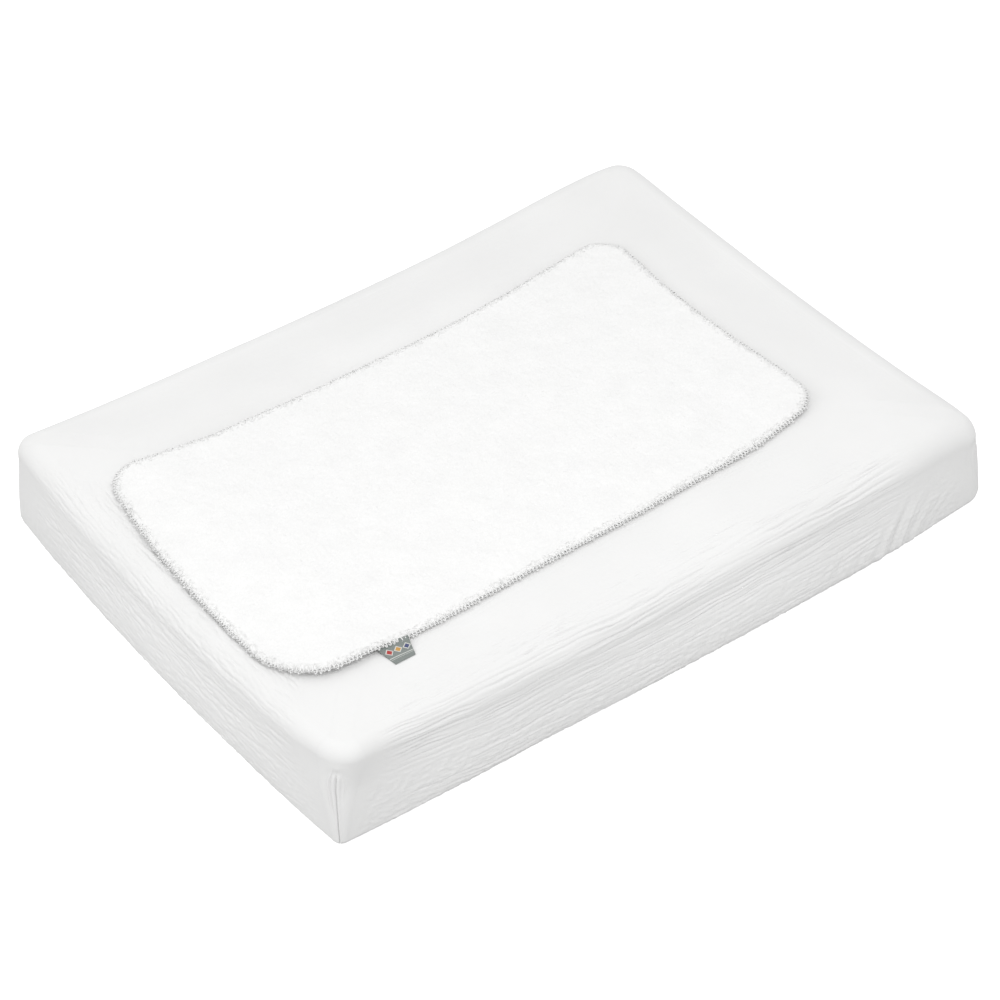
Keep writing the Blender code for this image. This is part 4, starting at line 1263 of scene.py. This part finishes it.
def resin_material():
    """Moulded zip teeth: slight flow marks and waxy gloss."""
    mat = Shader("zip_resin_moulded", (0.84, 0.84, 0.83), roughness=0.35)
    flow = mat.noise(mat.coords(), scale=420.0)
    mat.tint(flow, (0.81, 0.81, 0.80), (0.87, 0.87, 0.86))
    mat.roughen(flow, 0.28, 0.42)
    mat.bump(flow, strength=0.2, distance=0.00008)
    return mat.material


# label pattern, in shares of its width (u) and length (v)
DIAMOND_V, DIAMOND_BORDER, DIAMOND_SIZE = 0.42, 0.150, 0.108
DIAMOND_EDGE, STRIPE = (0.66, 0.66, 0.62), (0.62, 0.64, 0.61)
DIAMONDS = ((0.20, (0.42, 0.035, 0.030)), (0.52, (0.56, 0.30, 0.075)),
            (0.84, (0.060, 0.075, 0.18)))                # u of the middle, colour
STRIPES = ((0.70, 0.735), (0.79, 0.805))                 # v from, v to


def label_material():
    """Grey woven ribbon with a row of plain diamonds and two stripes."""
    mat = Shader("label_woven_damask", (0.30, 0.33, 0.31), roughness=0.7)
    u, v, _ = mat.split(mat.coords("weave"))
    rib = mat.wave(u, 2 * math.pi * 62)
    pick = mat.wave(v, 2 * math.pi * 70)
    fuzz = mat.noise(mat.coords("weave", (60, 60, 1)), detail=3.0)
    colour = mat.ramp(mat.add(mat.mul(mat.mul(rib, pick), 0.22), fuzz),
                      (0.150, 0.172, 0.162), (0.285, 0.312, 0.298), span=(0.25, 0.75))

    def diamond(middle, size):
        off_u = mat.math("ABSOLUTE", mat.math("SUBTRACT", u, middle))
        off_v = mat.math("ABSOLUTE", mat.mul(mat.math("SUBTRACT", v, DIAMOND_V), 0.85))
        return mat.math("LESS_THAN", mat.add(off_u, off_v), size)

    def over(under, mask, paint):
        node = mat.node("ShaderNodeMix", data_type="RGBA")
        mat.link(mask, node.inputs["Factor"])
        mat.link(under, node.inputs["A"])
        node.inputs["B"].default_value = (*paint, 1)
        return node.outputs["Result"]

    for middle, paint in DIAMONDS:
        colour = over(colour, diamond(middle, DIAMOND_BORDER), DIAMOND_EDGE)
        colour = over(colour, diamond(middle, DIAMOND_SIZE), paint)
    for low, high in STRIPES:
        band = mat.mul(mat.math("GREATER_THAN", v, low), mat.math("LESS_THAN", v, high))
        colour = over(colour, band, STRIPE)
    mat.link(colour, mat.inputs["Base Color"])
    height = mat.add(mat.mul(mat.mul(rib, pick), 0.5), fuzz)
    mat.bump(height, strength=0.5, distance=0.00018)
    mat.roughen(fuzz, 0.6, 0.8)
    mat.set({"Sheen Weight": 0.2})
    return mat.material


MUSLIN = muslin_material()
TERRY = terry_material()
OVERLOCK = thread_material("overlock_thread", 0.86)
LOOP_YARN = thread_material("terry_loop_yarn", 0.90)
BACKING = coated_material("liner_backing_film", 0.80, roughness=0.45)
CASING = coated_material("casing_coated_cloth", 0.80, roughness=0.38)
SEAM = thread_material("seam_thread", 0.84)
FOAM = foam_material()
METAL = metal_material()
RESIN = resin_material()
LABEL = label_material()
TAPE = tape_material("zip_tape_twill", 0.80, pitch=0.0011, rib=0.6)
ELASTIC = tape_material("elastic_braid", 0.76, pitch=0.0016, rib=1.0)

for material, names in (
    (FOAM, ("foam_core",)),
    (CASING, ("moisture_casing",)),
    (TAPE, ("zip_tape_upper", "zip_tape_lower")),
    (RESIN, ("zip_teeth_upper", "zip_teeth_lower")),
    (METAL, ("zip_bottom_stop", "zip_top_stop_upper", "zip_top_stop_lower", "zip_slider",
             "zip_pull")),
    (ELASTIC, ("hem_elastic",)),
    (SEAM, ("hem_stitch_thread", *("corner_seam_" + corner for corner in CORNER_NAMES))),
):
    for name in names:
        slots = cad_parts[name].data.materials
        slots.clear()
        slots.append(material)

# ------------------------------------------------------------------ pieces: cover and seams on the pad's body, liner and label baked in place
cover_ob, seam_lines = cover()
cover_ob.data.materials.append(MUSLIN)
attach(cover_ob, "pad")
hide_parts("muslin_cover")

for corner, (line, outwards) in zip(CORNER_NAMES, seam_lines):
    ob = seam_thread(corner, line, outwards)
    ob.data.materials.append(SEAM)
    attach(ob, "pad")
    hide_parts("corner_seam_" + corner)

for build, material, replaced, slot in (
    (terry, TERRY, ("liner_terry_rear", "liner_terry_front"), "terry"),
    (backing, BACKING, ("liner_backing_rear", "liner_backing_front"), "backing"),
    (serged_edge, OVERLOCK, ("liner_serged_edge_rear", "liner_serged_edge_front"), "thread"),
    (edge_loops, LOOP_YARN, (), "terry"),
):
    ob = build()
    ob.data.materials.append(material)
    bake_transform(ob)
    if replaced:
        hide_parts(*replaced)

label_ob = label()
label_ob.data.materials.append(LABEL)
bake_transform(label_ob)
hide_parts("label_tab")

# ------------------------------------------------------------------ floor and world
FLOOR_HALF = 12.0
FLOOR_GLOW = 0.07                    # emission that every ray sees
FLOOR_CAMERA_GLOW = 0.80             # added for the camera only
WORLD_STRENGTH = 0.925               # light on the scene; the camera sees 1

floor_mesh = bpy.data.meshes.new("floor")
floor_mesh.from_pydata([(x * FLOOR_HALF, y * FLOOR_HALF, 0)
                        for x, y in ((-1, -1), (1, -1), (1, 1), (-1, 1))], [], [(0, 1, 2, 3)])
floor = bpy.data.objects.new("floor", floor_mesh)
floor.location.z = -0.0002
bpy.context.scene.collection.objects.link(floor)
white = Shader("floor_white", (0.50, 0.50, 0.50), roughness=0.9)
white.set({"Emission Color": (1, 1, 1, 1), "Specular IOR Level": 0.0})
camera_ray = white.node("ShaderNodeLightPath").outputs["Is Camera Ray"]
white.link(white.math("MULTIPLY_ADD", camera_ray, FLOOR_CAMERA_GLOW, FLOOR_GLOW),
           white.inputs["Emission Strength"])
floor_mesh.materials.append(white.material)

scene = bpy.context.scene
world = bpy.data.worlds.new("studio")
scene.world = world
world.use_nodes = True
world_tree = world.node_tree
background = world_tree.nodes["Background"].inputs
background["Color"].default_value = (1, 1, 1, 1)
light_path = world_tree.nodes.new("ShaderNodeLightPath")
strength = world_tree.nodes.new("ShaderNodeMath")
strength.operation = "MULTIPLY_ADD"
world_tree.links.new(light_path.outputs["Is Camera Ray"], strength.inputs[0])
strength.inputs[1].default_value = 1.0 - WORLD_STRENGTH
strength.inputs[2].default_value = WORLD_STRENGTH
world_tree.links.new(strength.outputs[0], background["Strength"])

# ------------------------------------------------------------------ lights
# name, place, target, width of the square, watts
LIGHTS = (
    ("key", (-0.30, -1.05, 1.75), (0.0, -0.12, 0.1), 0.6, 6.4),
    ("top_bank", (0.1, 0.3, 2.4), (0, 0, 0.1), 0.8, 2.0),
    ("left_bank", (-2.2, 0.1, 1.10), (0, 0, 0.08), 0.8, 6.3),
    ("front_bank", (1.2, -2.2, 1.00), (0, 0, 0.06), 0.8, 0.5),
)
for name, place, target, size, power in LIGHTS:
    data = bpy.data.lights.new(name, "AREA")
    data.energy = power
    data.shape = "RECTANGLE"
    data.size = data.size_y = size
    lamp = bpy.data.objects.new(name, data)
    lamp.location = place
    lamp.rotation_euler = (Vector(target) - Vector(place)).to_track_quat("-Z", "Y").to_euler()
    scene.collection.objects.link(lamp)

# ------------------------------------------------------------------ camera
AZIMUTH, ELEVATION, ROLL = math.radians(-33.21), math.radians(40.93), math.radians(-3.70)
DISTANCE = 3.608
SHIFT_RIGHT, SHIFT_UP = 0.0030, 0.0038
LENS = 125.3268                      # millimetres, for a 36 mm sensor

back = Vector((math.sin(AZIMUTH) * math.cos(ELEVATION),
               -math.cos(AZIMUTH) * math.cos(ELEVATION), math.sin(ELEVATION)))
right = (-back).cross(Vector((0, 0, 1))).normalized()
up = right.cross(-back)
rolled_right = right * math.cos(ROLL) + up * math.sin(ROLL)
rolled_up = up * math.cos(ROLL) - right * math.sin(ROLL)
camera_data = bpy.data.cameras.new("camera")
camera_data.sensor_width = 36.0
camera_data.lens = LENS
camera_data.clip_start, camera_data.clip_end = 0.1, 60.0
camera = bpy.data.objects.new("camera", camera_data)
turned = Matrix((rolled_right, rolled_up, back)).transposed().to_4x4()
place = back * DISTANCE + right * SHIFT_RIGHT + up * SHIFT_UP
camera.matrix_world = Matrix.Translation(place) @ turned
scene.collection.objects.link(camera)
scene.camera = camera

scene.view_settings.view_transform = "Standard"
scene.view_settings.look = "None"
scene.view_settings.exposure = 0.0
scene.view_settings.gamma = 1.0
